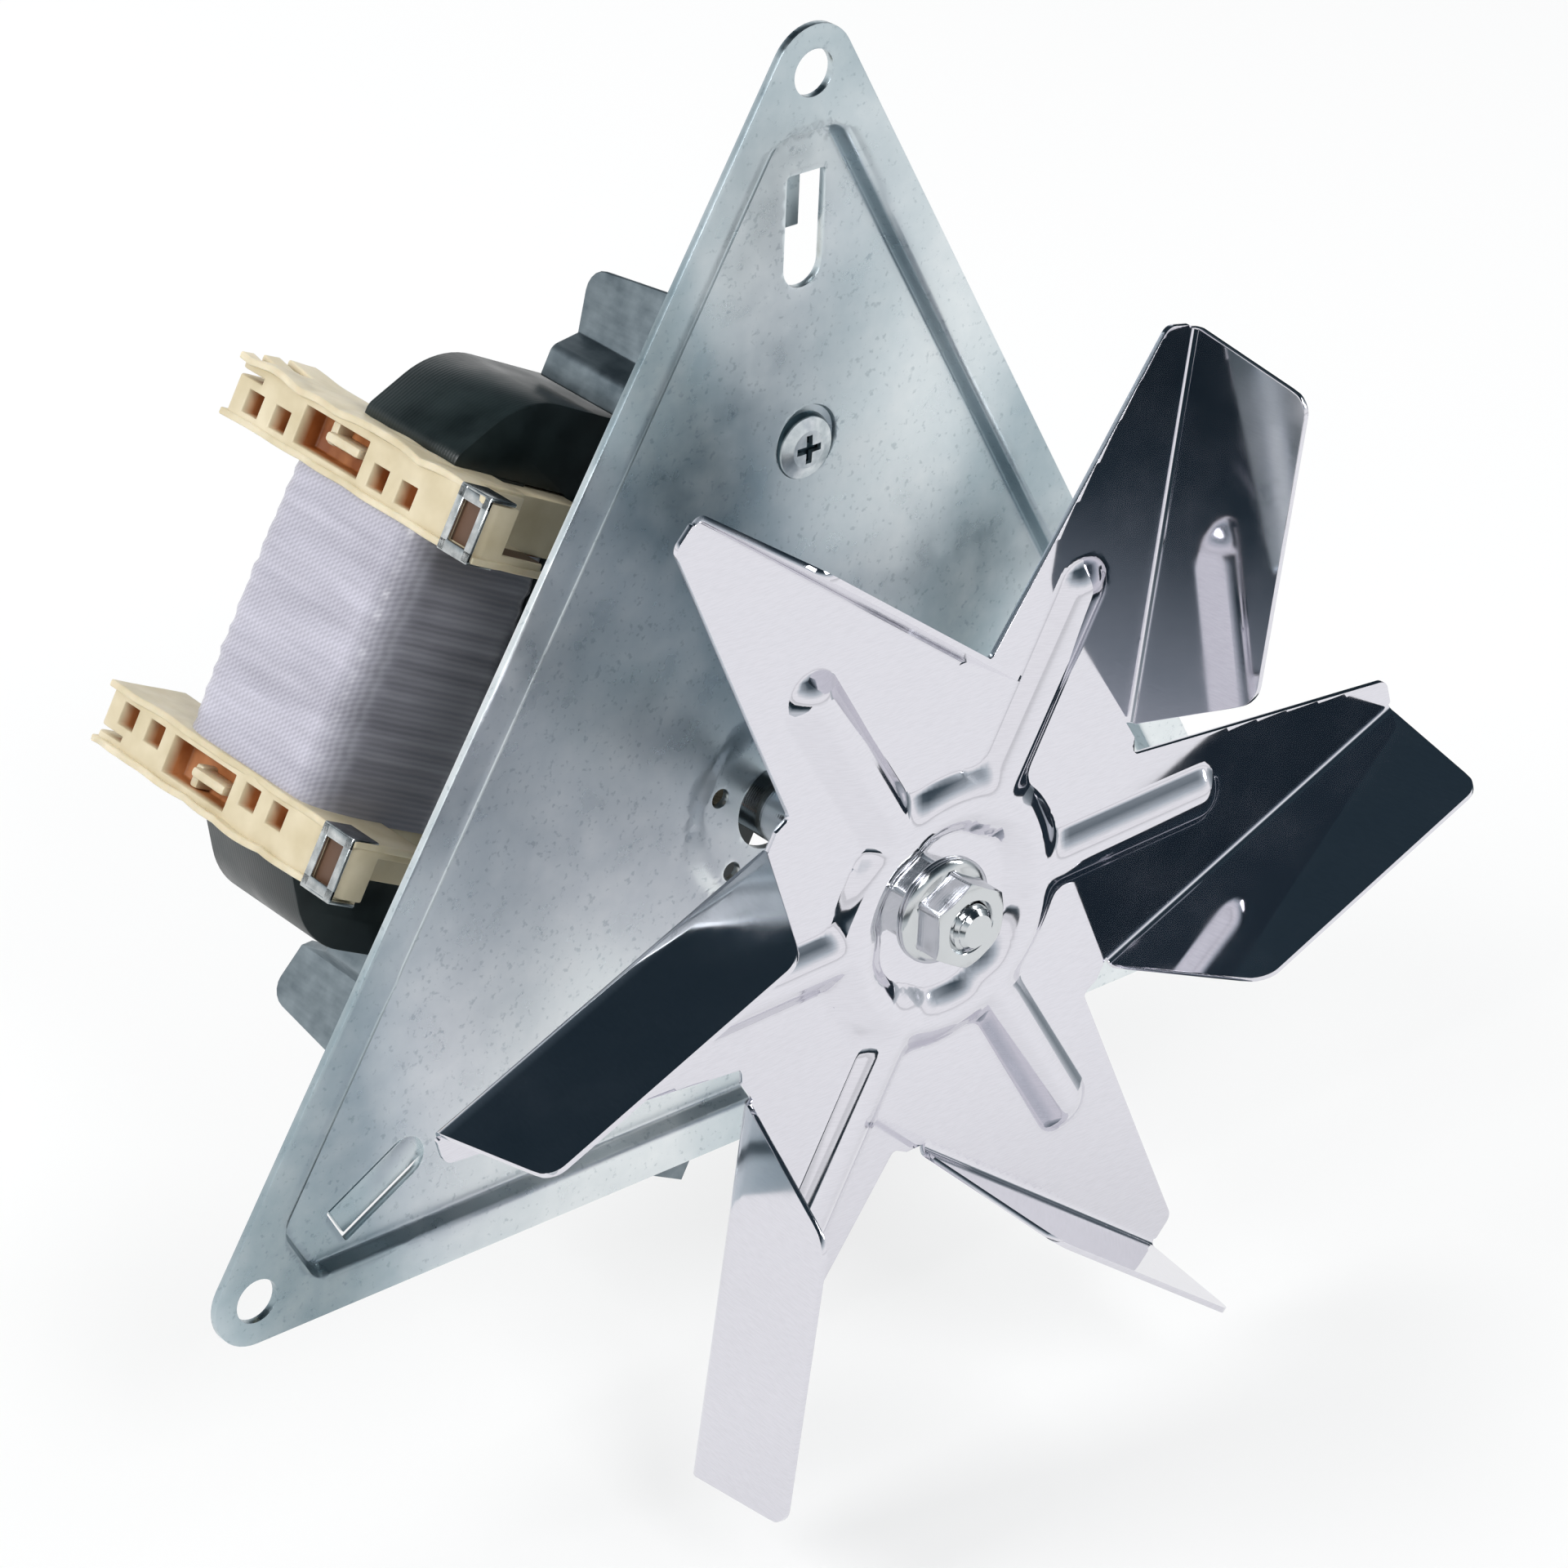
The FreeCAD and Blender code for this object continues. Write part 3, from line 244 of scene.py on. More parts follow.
def addNode(tree, kind, inputs=None, output=0, stops=None, **settings):
    # a node with its settings, its inputs by name or number, and a ramp's colours
    node = tree.nodes.new("ShaderNode" + kind)
    for name, value in settings.items():
        setattr(node, name, value)
    for name, value in (inputs or {}).items():
        if isinstance(value, bpy.types.NodeSocket):
            tree.links.new(value, node.inputs[name])
        else:
            node.inputs[name].default_value = value
    if stops:
        while len(node.color_ramp.elements) < len(stops):
            node.color_ramp.elements.new(0.5)
        for element, (position, code) in zip(node.color_ramp.elements, stops):
            element.position = position
            element.color = linear(code)
    return node.outputs[output]


def newMaterial(name, metallic, roughness, colour):
    # a material, the way to add nodes to it, and its Object coordinates
    material = bpy.data.materials.new(name)
    material.use_nodes = True
    shader = material.node_tree.nodes["Principled BSDF"]
    shader.inputs["Metallic"].default_value = metallic
    shader.inputs["Roughness"].default_value = roughness
    shader.inputs["Base Color"].default_value = linear(colour)
    add = partial(addNode, material.node_tree)
    return material, add, add("TexCoord", output=3)


def finished(material, driven, fixed=None):
    # links what drives the shader and sets what stays the same, by the name of the socket
    shader = material.node_tree.nodes["Principled BSDF"]
    for name, value in driven.items():
        material.node_tree.links.new(value, shader.inputs[name])
    for name, value in (fixed or {}).items():
        shader.inputs[name].default_value = value
    return material


def motorCoordinates(add, place):
    # Object coordinates turned back into the motor's own frame
    back = motorPlace().inverted()
    return add("Mapping", {"Vector": place, "Location": tuple(back.translation * mm),
                           "Rotation": (0.0, math.radians(-motorTurn), 0.0)})


inColour = {"output": 2, "data_type": "RGBA"}  # a Mix node's settings for two colours
noiseSpan = {"From Min": 0.3, "From Max": 0.7}  # where most of a noise's values lie


def zincSheetMaterial():
    # electroplated zinc on cold-rolled steel: blue-grey clouds, partly painted soft reflection, a dusty bloom
    # and fine dark pits
    material, add, place = newMaterial("zincPlatedSheet", 1.0, 0.28, "a9b5bb")
    drawn = add("Mapping", {"Vector": place, "Scale": (1.0, 1.0, 0.55),
                            "Rotation": (0.0, math.radians(-24.0), 0.0)})
    broad = add("TexNoise", {"Vector": drawn, "Scale": 1 / 0.042, "Detail": 1.2, "Distortion": 0.3})
    mottle = add("TexNoise", {"Vector": place, "Scale": 1 / 0.0045, "Detail": 3.5, "Roughness": 0.5})
    grain = add("TexNoise", {"Vector": place, "Scale": 1 / 0.0008, "Detail": 3.0})
    # the broad slanted clouds are real mottle and partly painted reflection: soft light and dark bands
    clouds = add("ValToRGB", {"Fac": broad}, stops=[
        (0.36, "61777f"), (0.44, "94a7af"), (0.51, "cfd9dd"), (0.62, "f0f4f5")])
    spots = add("ValToRGB", {"Fac": mottle}, stops=[(0.25, "b4c1c7"), (0.50, "d0d9dd"), (0.75, "eef2f3")])
    pits = add("ValToRGB", {"Fac": grain}, stops=[(0.30, "a3b0b6"), (0.40, "ffffff")])
    tone = add("Mix", {0: 0.32, 6: clouds, 7: spots}, **inColour)
    tone = add("Mix", {0: 0.35, 6: tone, 7: pits}, blend_type="MULTIPLY", **inColour)
    # painted shade darkens the right-hand bend of the recess
    across = add("VectorMath", {0: place, 1: (0.866, 0.0, 0.5)}, output=1, operation="DOT_PRODUCT")
    inner = add("MapRange", {"Value": across, "From Min": 44.3 * mm, "From Max": 44.6 * mm})
    outer = add("MapRange", {"Value": across, "From Min": 45.75 * mm, "From Max": 45.5 * mm})
    deep = add("SeparateXYZ", {"Vector": place}, output=1)
    sunk = add("MapRange", {"Value": deep, "From Min": 0.05 * mm, "From Max": 0.3 * mm})
    bend = add("Math", {0: inner, 1: outer}, operation="MULTIPLY")
    bend = add("Math", {0: bend, 1: sunk}, operation="MULTIPLY")
    bendShade = add("Mix", {0: 1.0, 6: tone, 7: linear("bcc6cb")}, blend_type="MULTIPLY", **inColour)
    rough = add("Bump", {"Height": mottle, "Distance": 0.02 * mm, "Strength": 0.1})
    return finished(material, {
        "Base Color": add("Mix", {0: bend, 6: tone, 7: bendShade}, **inColour),
        "Roughness": add("MapRange", {"Value": mottle, "To Min": 0.26, "To Max": 0.34, **noiseSpan}),
        "Normal": add("Bump", {"Height": broad, "Distance": 0.8 * mm, "Strength": 0.4, "Normal": rough})})


def polishedSheetMaterial():
    # bright-annealed stainless: a mirror with a faint haze and hairline marks
    material, add, place = newMaterial("mirrorStainless", 1.0, 0.06, "d9d9df")
    haze = add("TexNoise", {"Vector": place, "Scale": 1 / 0.009, "Detail": 4.0})
    hairs = add("Mapping", {"Vector": place, "Scale": (1.0, 1.0, 14.0)})
    marks = add("TexNoise", {"Vector": hairs, "Scale": 1 / 0.0016, "Detail": 3.0})
    rough = add("MapRange", {
        "Value": haze, "From Min": 0.35, "From Max": 0.7, "To Min": 0.04, "To Max": 0.11})
    return finished(material, {
        "Base Color": add("ValToRGB", {"Fac": marks}, stops=[(0.35, "d9d8df"), (0.6, "dedde4")]),
        "Roughness": rough,
        "Normal": add("Bump", {"Height": haze, "Distance": 0.01 * mm, "Strength": 0.1})})


def turnedSteelMaterial():
    # nickel-bright turned steel with faint tool rings 0.35 mm apart
    material, add, place = newMaterial("brightTurnedSteel", 1.0, 0.14, "cdd0d2")
    rings = add("TexWave", {"Vector": place, "Scale": 900.0, "Distortion": 1.5, "Detail": 2.0}, output=1,
                bands_direction="Y")
    haze = add("TexNoise", {"Vector": place, "Scale": 1 / 0.0025, "Detail": 4.0})
    return finished(material, {
        "Roughness": add("MapRange", {"Value": haze, "To Min": 0.08, "To Max": 0.22, **noiseSpan}),
        "Normal": add("Bump", {"Height": rings, "Distance": 0.01 * mm, "Strength": 0.25})})


def zincScrewMaterial():
    # blue-passivated zinc on the small screws: a satin grey, with painted shade in the cross and round the
    # heads
    material, add, place = newMaterial("zincPassivatedScrew", 1.0, 0.30, "c6ced2")
    haze = add("TexNoise", {"Vector": place, "Scale": 1 / 0.0012, "Detail": 4.0})
    bright = add("ValToRGB", {"Fac": haze}, stops=[(0.35, "c3ccd0"), (0.65, "e2e8ea")])
    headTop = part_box("foot_screws")[0][1]
    # painted shade: whatever lies deeper than the head's face turns dark
    deep = add("SeparateXYZ", {"Vector": place}, output=1)
    recessShade = add("MapRange", {"Value": deep, "From Min": headTop + 0.6 * mm, "From Max": headTop + 0.8 * mm})
    return finished(material, {
        "Base Color": add("Mix", {0: recessShade, 6: bright, 7: linear("42535a")}, **inColour),
        "Normal": add("Bump", {"Height": haze, "Distance": 0.03 * mm, "Strength": 0.2})})


def dullZincMaterial():
    # hot-dip zinc on folded strip: satin grey with scuffs along the fold
    material, add, place = newMaterial("dullZincStrip", 1.0, 0.48, "7b868c")
    mottle = add("TexNoise", {"Vector": place, "Scale": 1 / 0.0032, "Detail": 6.0})
    streaks = add("Mapping", {"Vector": place, "Scale": (1.0, 0.18, 1.0)})
    scuffs = add("TexNoise", {"Vector": streaks, "Scale": 1 / 0.0009, "Detail": 3.0})
    clouds = add("ValToRGB", {"Fac": mottle}, stops=[(0.3, "6a767d"), (0.7, "939ea4")])
    lines = add("ValToRGB", {"Fac": scuffs}, stops=[(0.35, "616d74"), (0.7, "9aa5ab")])
    return finished(material, {
        "Base Color": add("Mix", {0: 0.22, 6: clouds, 7: lines}, **inColour),
        "Roughness": add("MapRange", {"Value": mottle, "To Min": 0.40, "To Max": 0.54, **noiseSpan}),
        "Normal": add("Bump", {"Height": scuffs, "Distance": 0.03 * mm, "Strength": 0.15})})


def laminationMaterial():
    # lacquered electrical sheet: a black coat over the edges of half-millimetre laminations
    material, add, place = newMaterial("blackLacquerLaminations", 0.0, 0.36, "141c1d")
    stack = add("TexWave", {"Vector": place, "Scale": 628.0, "Distortion": 0.3, "Detail": 1.0}, output=1,
                bands_direction="Y")
    coat = add("TexNoise", {"Vector": place, "Scale": 1 / 0.005, "Detail": 4.0})
    return finished(material, {
        "Base Color": add("ValToRGB", {"Fac": coat}, stops=[(0.3, "0f1718"), (0.7, "1c2728")]),
        "Roughness": add("MapRange", {"Value": coat, "To Min": 0.30, "To Max": 0.44, **noiseSpan}),
        "Normal": add("Bump", {"Height": stack, "Distance": 0.04 * mm, "Strength": 0.22})})


def formerMaterial():
    # heat-proof polyamide, moulded, with painted brown shade deepening into its pockets
    material, add, place = newMaterial("mouldedPolyamide", 0.0, 0.44, "e3d6bc")
    apart = add("SeparateXYZ", {"Vector": motorCoordinates(add, place)})
    along = apart.node.outputs[1]
    height = add("Math", {0: apart.node.outputs[2]}, operation="ABSOLUTE")
    clouds = add("TexNoise", {"Vector": place, "Scale": 1 / 0.006, "Detail": 3.0})
    pale = add("ValToRGB", {"Fac": clouds}, stops=[(0.3, "c3b594"), (0.7, "d9cdb1")])
    brownShade = add("ValToRGB", {"Fac": clouds}, stops=[(0.35, "8a4c20"), (0.65, "c08252")])
    # painted shade: browner the deeper a point lies in the pockets
    near, far = former["shade"]
    deep = add("MapRange", {"Value": apart, "From Min": near * mm, "From Max": far * mm})
    spans = []
    for value, (middle, half) in zip((height, along, along, apart), former["brownShadeSpans"]):
        # 1 inside a span, 0 outside it
        away = add("Math", {0: value, 1: middle * mm}, operation="SUBTRACT")
        away = add("Math", {0: away}, operation="ABSOLUTE")
        spans.append(add("Math", {0: away, 1: half * mm}, operation="LESS_THAN"))
    for span, operation in ((1, "MULTIPLY"), (3, "MULTIPLY"), (2, "MAXIMUM"), (0, "MULTIPLY")):
        deep = add("Math", {0: deep, 1: spans[span]}, operation=operation)
    # painted shade: darkest under the clips
    brownShade = add("Mix", {0: spans[2], 6: brownShade, 7: linear("5e4433")}, **inColour)  # darkest under the clips
    skin = add("TexNoise", {"Vector": place, "Scale": 1 / 0.0008, "Detail": 2.0})
    return finished(material, {
        "Base Color": add("Mix", {0: deep, 6: pale, 7: brownShade}, **inColour),
        "Normal": add("Bump", {"Height": skin, "Distance": 0.03 * mm, "Strength": 0.3})})


def formerSkinMaterial():
    # the same moulding, thin enough to let some light through
    material, add, place = newMaterial("mouldedPolyamideSkin", 0.0, 0.40, "e6dbc3")
    clouds = add("TexNoise", {"Vector": place, "Scale": 1 / 0.005, "Detail": 3.0})
    return finished(material, {
        "Base Color": add("ValToRGB", {"Fac": clouds}, stops=[(0.3, "c6b999"), (0.7, "ddd2b8")]),
        "Normal": add("Bump", {"Height": clouds, "Distance": 0.2 * mm, "Strength": 0.4})},
        {"Subsurface Weight": 0.15, "Subsurface Radius": (1.0, 0.6, 0.3), "Subsurface Scale": 0.001})


def copperMaterial():
    # enamelled winding wire: warm brown, ribbed at its 0.8 mm pitch
    material, add, place = newMaterial("enamelledCopperWire", 0.85, 0.32, "a05a2c")
    turned = motorCoordinates(add, place)
    wires = add("TexWave", {"Vector": turned, "Scale": 392.0, "Distortion": 0.4}, output=1,
                bands_direction="Z")
    return finished(material, {
        "Base Color": add("ValToRGB", {"Fac": wires}, stops=[(0.2, "6e3414"), (0.8, "c57b44")]),
        "Normal": add("Bump", {"Height": wires, "Distance": 0.12 * mm, "Strength": 0.7})})


def glassTapeMaterial():
    # varnished glass-cloth tape: silvery lilac-white twill that shows the turns under it
    material, add, place = newMaterial("wovenGlassTape", 0.0, 0.36, "c8c6d0")
    turned = motorCoordinates(add, place)
    slant = add("Mapping", {"Vector": turned, "Rotation": (math.radians(38.0), 0.0, 0.0)})
    twill = add("TexWave", {"Vector": slant, "Scale": 560.0, "Distortion": 0.8, "Detail": 1.0}, output=1,
                bands_direction="Z")
    across = add("TexWave", {"Vector": turned, "Scale": 480.0, "Distortion": 0.6, "Detail": 1.0}, output=1,
                 bands_direction="Y")
    ridges = add("Mapping", {"Vector": turned, "Scale": (0.12, 0.12, 1.0)})
    rows = add("TexNoise", {"Vector": ridges, "Scale": 1 / 0.0022, "Detail": 3.0})
    weave = add("Mix", {0: 0.45, 6: twill, 7: across}, **inColour)
    laps = add("ValToRGB", {"Fac": rows}, stops=[(0.3, "96949f"), (0.68, "bfbdc9")])
    cloth = add("ValToRGB", {"Fac": weave}, stops=[(0.15, "93919e"), (0.85, "c9c7d3")])
    tone = add("Mix", {0: 0.45, 6: laps, 7: cloth}, **inColour)
    # painted shade darkens the end that faces the plate
    along = add("SeparateXYZ", {"Vector": turned}, output=1)
    plateEndShade = add("MapRange", {"Value": along, "From Min": 23.0 * mm, "From Max": 29.5 * mm})
    plateEndShade = add("ValToRGB", {"Fac": plateEndShade}, stops=[(0.0, "d6d8d6"), (0.16, "aeb0b0"), (0.85, "ffffff")])
    fine = add("Bump", {"Height": weave, "Distance": 0.05 * mm, "Strength": 0.35})
    return finished(material, {
        "Base Color": add("Mix", {0: 1.0, 6: tone, 7: plateEndShade}, blend_type="MULTIPLY", **inColour),
        "Normal": add("Bump", {"Height": rows, "Distance": 0.12 * mm, "Strength": 0.4, "Normal": fine})},
        {"Coat Weight": 0.25, "Coat Roughness": 0.25})


def tinnedMaterial():
    # tinned brass strip: soft bright with finger haze
    material, add, place = newMaterial("tinnedBrassStrip", 1.0, 0.22, "c9cccc")
    haze = add("TexNoise", {"Vector": place, "Scale": 1 / 0.0018, "Detail": 4.0})
    return finished(material, {
        "Base Color": add("ValToRGB", {"Fac": haze}, stops=[(0.3, "9fa4a5"), (0.7, "d6d9d9")]),
        "Normal": add("Bump", {"Height": haze, "Distance": 0.03 * mm, "Strength": 0.3})})


def hiddenPartMaterial(name, colour, darker, roughness, metallic, grainMm, depth):
    # sintered, felt, cast and moulded small parts, told apart by grain and gloss
    material, add, place = newMaterial(name, metallic, roughness, colour)
    grain = add("TexNoise", {"Vector": place, "Scale": 1 / (grainMm * mm), "Detail": 4.0})
    return finished(material, {
        "Base Color": add("ValToRGB", {"Fac": grain}, stops=[(0.3, darker), (0.7, colour)]),
        "Normal": add("Bump", {"Height": grain, "Distance": depth * mm, "Strength": 0.5})})


former = {
    "shade": (-50.1, -48.4), "half": 25.1, "end": 7.0, "outer": -50.4, "inner": -38.4, "front": 14.4,
    "back": 63.6, "skin": 0.9, "cutFrom": -46.0, "cutTo": 22.0, "tongue": (40.0, 46.5),
    "prongs": ((-48.6, -47.2), (-44.4, -43.0)), "skinLevels": ((25.05, 1.2), (18.15, 0.6)),
    "skinWidth": 12.0, "brownShadeSpans": ((21.6, 2.6), (43.6, 17.2), (17.0, 1.9), (-44.8, 5.5)),
    "prongDepth": 4.6,
}
zincSheet = zincSheetMaterial()
polishedSheet = polishedSheetMaterial()
turnedSteel = turnedSteelMaterial()
zincScrew = zincScrewMaterial()
dullZinc = dullZincMaterial()
laminations = laminationMaterial()
polyamide = formerMaterial()
polyamideSkin = formerSkinMaterial()
copperWire = copperMaterial()
glassTape = glassTapeMaterial()
tinned = tinnedMaterial()
bronze = hiddenPartMaterial("sinteredBronze", "b08a56", "7c5c34", 0.45, 0.9, 0.4, 0.03)
felt = hiddenPartMaterial("oiledWoolFelt", "a79a80", "7e725c", 0.9, 0.0, 0.5, 0.15)
castAluminium = hiddenPartMaterial("dieCastAluminium", "c3c6c8", "9da1a4", 0.38, 1.0, 1.2, 0.04)
mouldedNylon = hiddenPartMaterial("mouldedNylonWasher", "45474a", "2f3133", 0.5, 0.0, 0.8, 0.02)
nodeFinish = {
    "mounting_plate": zincSheet, "foot_screws": zincScrew, "front_bridge": dullZinc,
    "stator_core": laminations, "core_leg": laminations, "coil_former": polyamide, "winding": copperWire,
    "coil_tape": glassTape, "terminal_clips": tinned, "shading_rings": copperWire,
    "rear_bridge": dullZinc, "front_bush": bronze, "rear_bush": bronze, "felt_rings": felt,
    "clamp_screws": zincScrew, "clamp_nuts": zincScrew, "shaft": turnedSteel, "rotor_core": laminations,
    "rotor_cage": castAluminium, "thrust_washers": mouldedNylon, "impeller": polishedSheet,
    "impeller_washer": turnedSteel, "impeller_nut": turnedSteel,
}
for nodeName, finish in nodeFinish.items():
    nodes[nodeName].data.materials.clear()
    nodes[nodeName].data.materials.append(finish)
print("materials made")


# impeller: one sheet, cut as a sector, pressed, folded and turned into six blades

impeller = {
    "back": -28.5, "sheet": 0.7, "hubHole": 3.2, "foldInner": 33.6, "foldInnerAt": 87.8, "tip": 75.0,
    "tipAt": 121.8, "heel": 73.6, "heelAt": 125.6, "root": 31.9, "rootAt": 140.0, "bend": 1.5,
    "lean": 86.0, "height": 18.5, "tipCut": 2.8, "rootCut": 9.5, "corner": 2.2, "ribRing": 14.2,
    "ribEnd": 41.0, "ribAt": 122.2, "ribHalf": 3.9, "ribHeight": 2.1, "cut": 0.65,
}


def ribHeight(x, z):
    # height of the pressed ring and ribs over the flat sheet
    radius = math.hypot(x, z)
    away = abs(radius - impeller["ribRing"])
    for blade in range(6):
        ux, uz = polar(1.0, impeller["ribAt"] - 60.0 * blade)
        along = min(max(x * ux + z * uz, impeller["ribRing"]), impeller["ribEnd"])
        away = smoothMin(away, math.hypot(x - ux * along, z - uz * along), 2.2)
    share = min(max(away, 0.0) / impeller["ribHalf"], 1.0)
    return impeller["ribHeight"] * (1.0 - share * share) ** 1.35


def foldLine():
    # both ends of a blade's fold, and the way along it
    start = Vector(polar(impeller["foldInner"], impeller["foldInnerAt"]))
    end = Vector(polar(impeller["tip"], impeller["tipAt"]))
    return start, end, (end - start).normalized()


def foldedEdge(bm):
    # the blade's leaf: the sheet's cut edge is drawn round a bend and up
    foldIn, foldOut, along = foldLine()
    outward = Vector((along.y, -along.x))
    length = (foldOut - foldIn).length
    bend = impeller["bend"]
    share = bm.verts.layers.float.new("share")
    line = []
    for edge in bm.edges:
        offs = [(Vector((v.co.x, v.co.z)) - foldIn).dot(outward) + bend for v in edge.verts]
        if len(edge.link_faces) == 1 and max(abs(off) for off in offs) < 0.002:
            line.append(edge)
    for vert in {v for edge in line for v in edge.verts}:
        vert[share] = (Vector((vert.co.x, vert.co.z)) - foldIn).dot(along) / length
    lean = math.radians(impeller["lean"])
    rows = [(step / 6.0 * lean, 0.0) for step in range(1, 7)]
    straight = impeller["height"] - bend
    rises = [straight * step / 12.0 for step in range(1, 12)]
    corner = impeller["corner"]
    rises += [straight - corner * (1.0 - math.sin(math.pi * step / 12.0)) for step in range(1, 7)]
    rows += [(lean, rise) for rise in sorted(rises)]
    for angle, rise in rows:
        out = bend * math.sin(angle) + rise * math.cos(lean)
        up = bend * (1.0 - math.cos(angle)) + rise * math.sin(lean)
        taper = rise / straight
        over = max(rise - (straight - corner), 0.0)
        pull = corner - math.sqrt(max(corner * corner - over * over, 0.0))
        low = impeller["rootCut"] * taper + pull
        high = length - impeller["tipCut"] * taper - pull
        line, moved = extrudeRow(bm, line)
        for vert in moved:
            point = foldIn + along * (low + (high - low) * vert[share]) + outward * (out - bend)
            vert.co = (point.x, impeller["back"] - up, point.y)


def makeImpeller():
    bm = bmesh.new()
    foldIn, foldOut, along = foldLine()
    inward = Vector((-along.y, along.x)) * impeller["bend"]
    lastRoot = Vector(polar(impeller["root"], impeller["rootAt"] - 60.0))
    seam = 84.0
    ray = Vector(polar(1.0, seam))
    edge = foldIn - lastRoot
    reach = (lastRoot.x * edge.y - lastRoot.y * edge.x) / (ray.x * edge.y - ray.y * edge.x)
    corners = [(*polar(impeller["hubHole"], seam + 12.0 * i), 0.0) for i in range(5, -1, -1)]
    corners += [
        (*(ray * reach), 0.0), (*(foldIn + inward), 0.0), (*(foldOut + inward), 0.4),
        (*polar(impeller["heel"], impeller["heelAt"]), 1.6),
        (*polar(impeller["root"], impeller["rootAt"]), 0.8), (*polar(reach, seam + 60.0), 0.0),
    ]
    bm.faces.new(addLoop(bm, roundedPoints(corners))[0])
    sliceSheet(bm, [impeller["ribAt"] - 30.0 - 60.0 * k for k in range(3)], impeller["cut"], 76.0)
    for vert in bm.verts:
        vert.co.y = impeller["back"] - ribHeight(vert.co.x, vert.co.z)
    foldedEdge(bm)
    bmesh.ops.spin(bm, geom=bm.verts[:] + bm.edges[:] + bm.faces[:], cent=(0, 0, 0), axis=(0, 1, 0),
                   angle=math.radians(300.0), steps=5, use_duplicate=True)
    bmesh.ops.remove_doubles(bm, verts=bm.verts, dist=0.02)
    bmesh.ops.recalc_face_normals(bm, faces=bm.faces)
    flat = max(bm.faces, key=lambda face: face.calc_area() if abs(face.normal.y) > 0.99 else 0.0)
    if flat.normal.y < 0:
        bmesh.ops.reverse_faces(bm, faces=bm.faces)
    piece = newPiece("pressedImpeller", bm, shaftPlace(), polishedSheet, "rotor",
                     ("impeller",))
    addWall(piece, impeller["sheet"], even=True)
    addBevel(piece, 0.12, 2, 60.0)
    return applyModifiers(piece, 50.0)


makeImpeller()
print("impeller made")


# mounting plate: one sheet with its recess, boss, dimples, windows and holes

plate = {
    "inradius": 50.9, "sheet": 1.0, "holeCircle": 90.0, "holeRadius": 2.9, "rim": 5.4, "tip": 82.9,
    "depth": 2.1, "slope": 0.8, "softness": 1.1, "windowInner": 62.4, "windowOuter": 76.8,
    "windowWidth": 5.8, "windowShift": (-1.4, 3.0, 0.0), "bore": 5.6, "boss": 12.4, "lift": 0.7,
    "pilotCircle": 9.4, "pilot": 1.3, "pilotAt": 155.6, "screwSide": 18.8, "screwUp": 44.1,
    "screwBore": 2.0, "dimple": 4.6, "dimpleDepth": 0.5, "dimpleWall": 0.25, "leafLength": 9.6,
    "leafDepth": 4.2, "sideGap": 0.8, "cut": 1.05,
}


def screwSpots():
    place = motorPlace()
    spots = [place @ Vector((-plate["screwSide"], 0, plate["screwUp"] * sign)) for sign in (1, -1)]
    return [(spot.x / mm, spot.z / mm) for spot in spots]


def plateDepth(x, z):
    # how far the pressed face lies behind the rim
    inner = plate["inradius"] - plate["rim"]
    outside = -99.0
    for corner in range(3):
        ux, uz = polar(1.0, 90.0 + 120.0 * corner)
        outside = -smoothMin(-outside, -(-(x * ux + z * uz) - inner), 1.6)
        outside = -smoothMin(-outside, -((x * ux + z * uz) - plate["tip"]), 1.6)
    start = (plate["softness"] - plate["slope"]) / 2.0
    depth = plate["depth"] * smoothStep((-outside + start) / plate["softness"])
    radius = math.hypot(x, z - shaftDrop)
    depth -= plate["lift"] * smoothStep((plate["boss"] + 0.5 - radius) / 1.4)
    return depth


def cornerPoint(radial, across, corner):
    ax, az = polar(radial, 90.0 + 120.0 * corner)
    bx, bz = polar(across, 180.0 + 120.0 * corner)
    return ax + bx, az + bz


def addBlock(bm, centre, size, turn, rounding):
    # a small rounded block, made in its own mesh and joined
    part = bmesh.new()
    bmesh.ops.create_cube(part, size=1.0)
    bmesh.ops.scale(part, vec=size, verts=part.verts)
    roundOff(part, part.edges[:], rounding, 2)
    bmesh.ops.transform(part, matrix=Matrix.Translation(centre) @ turn, verts=part.verts)
    joinPart(bm, part)


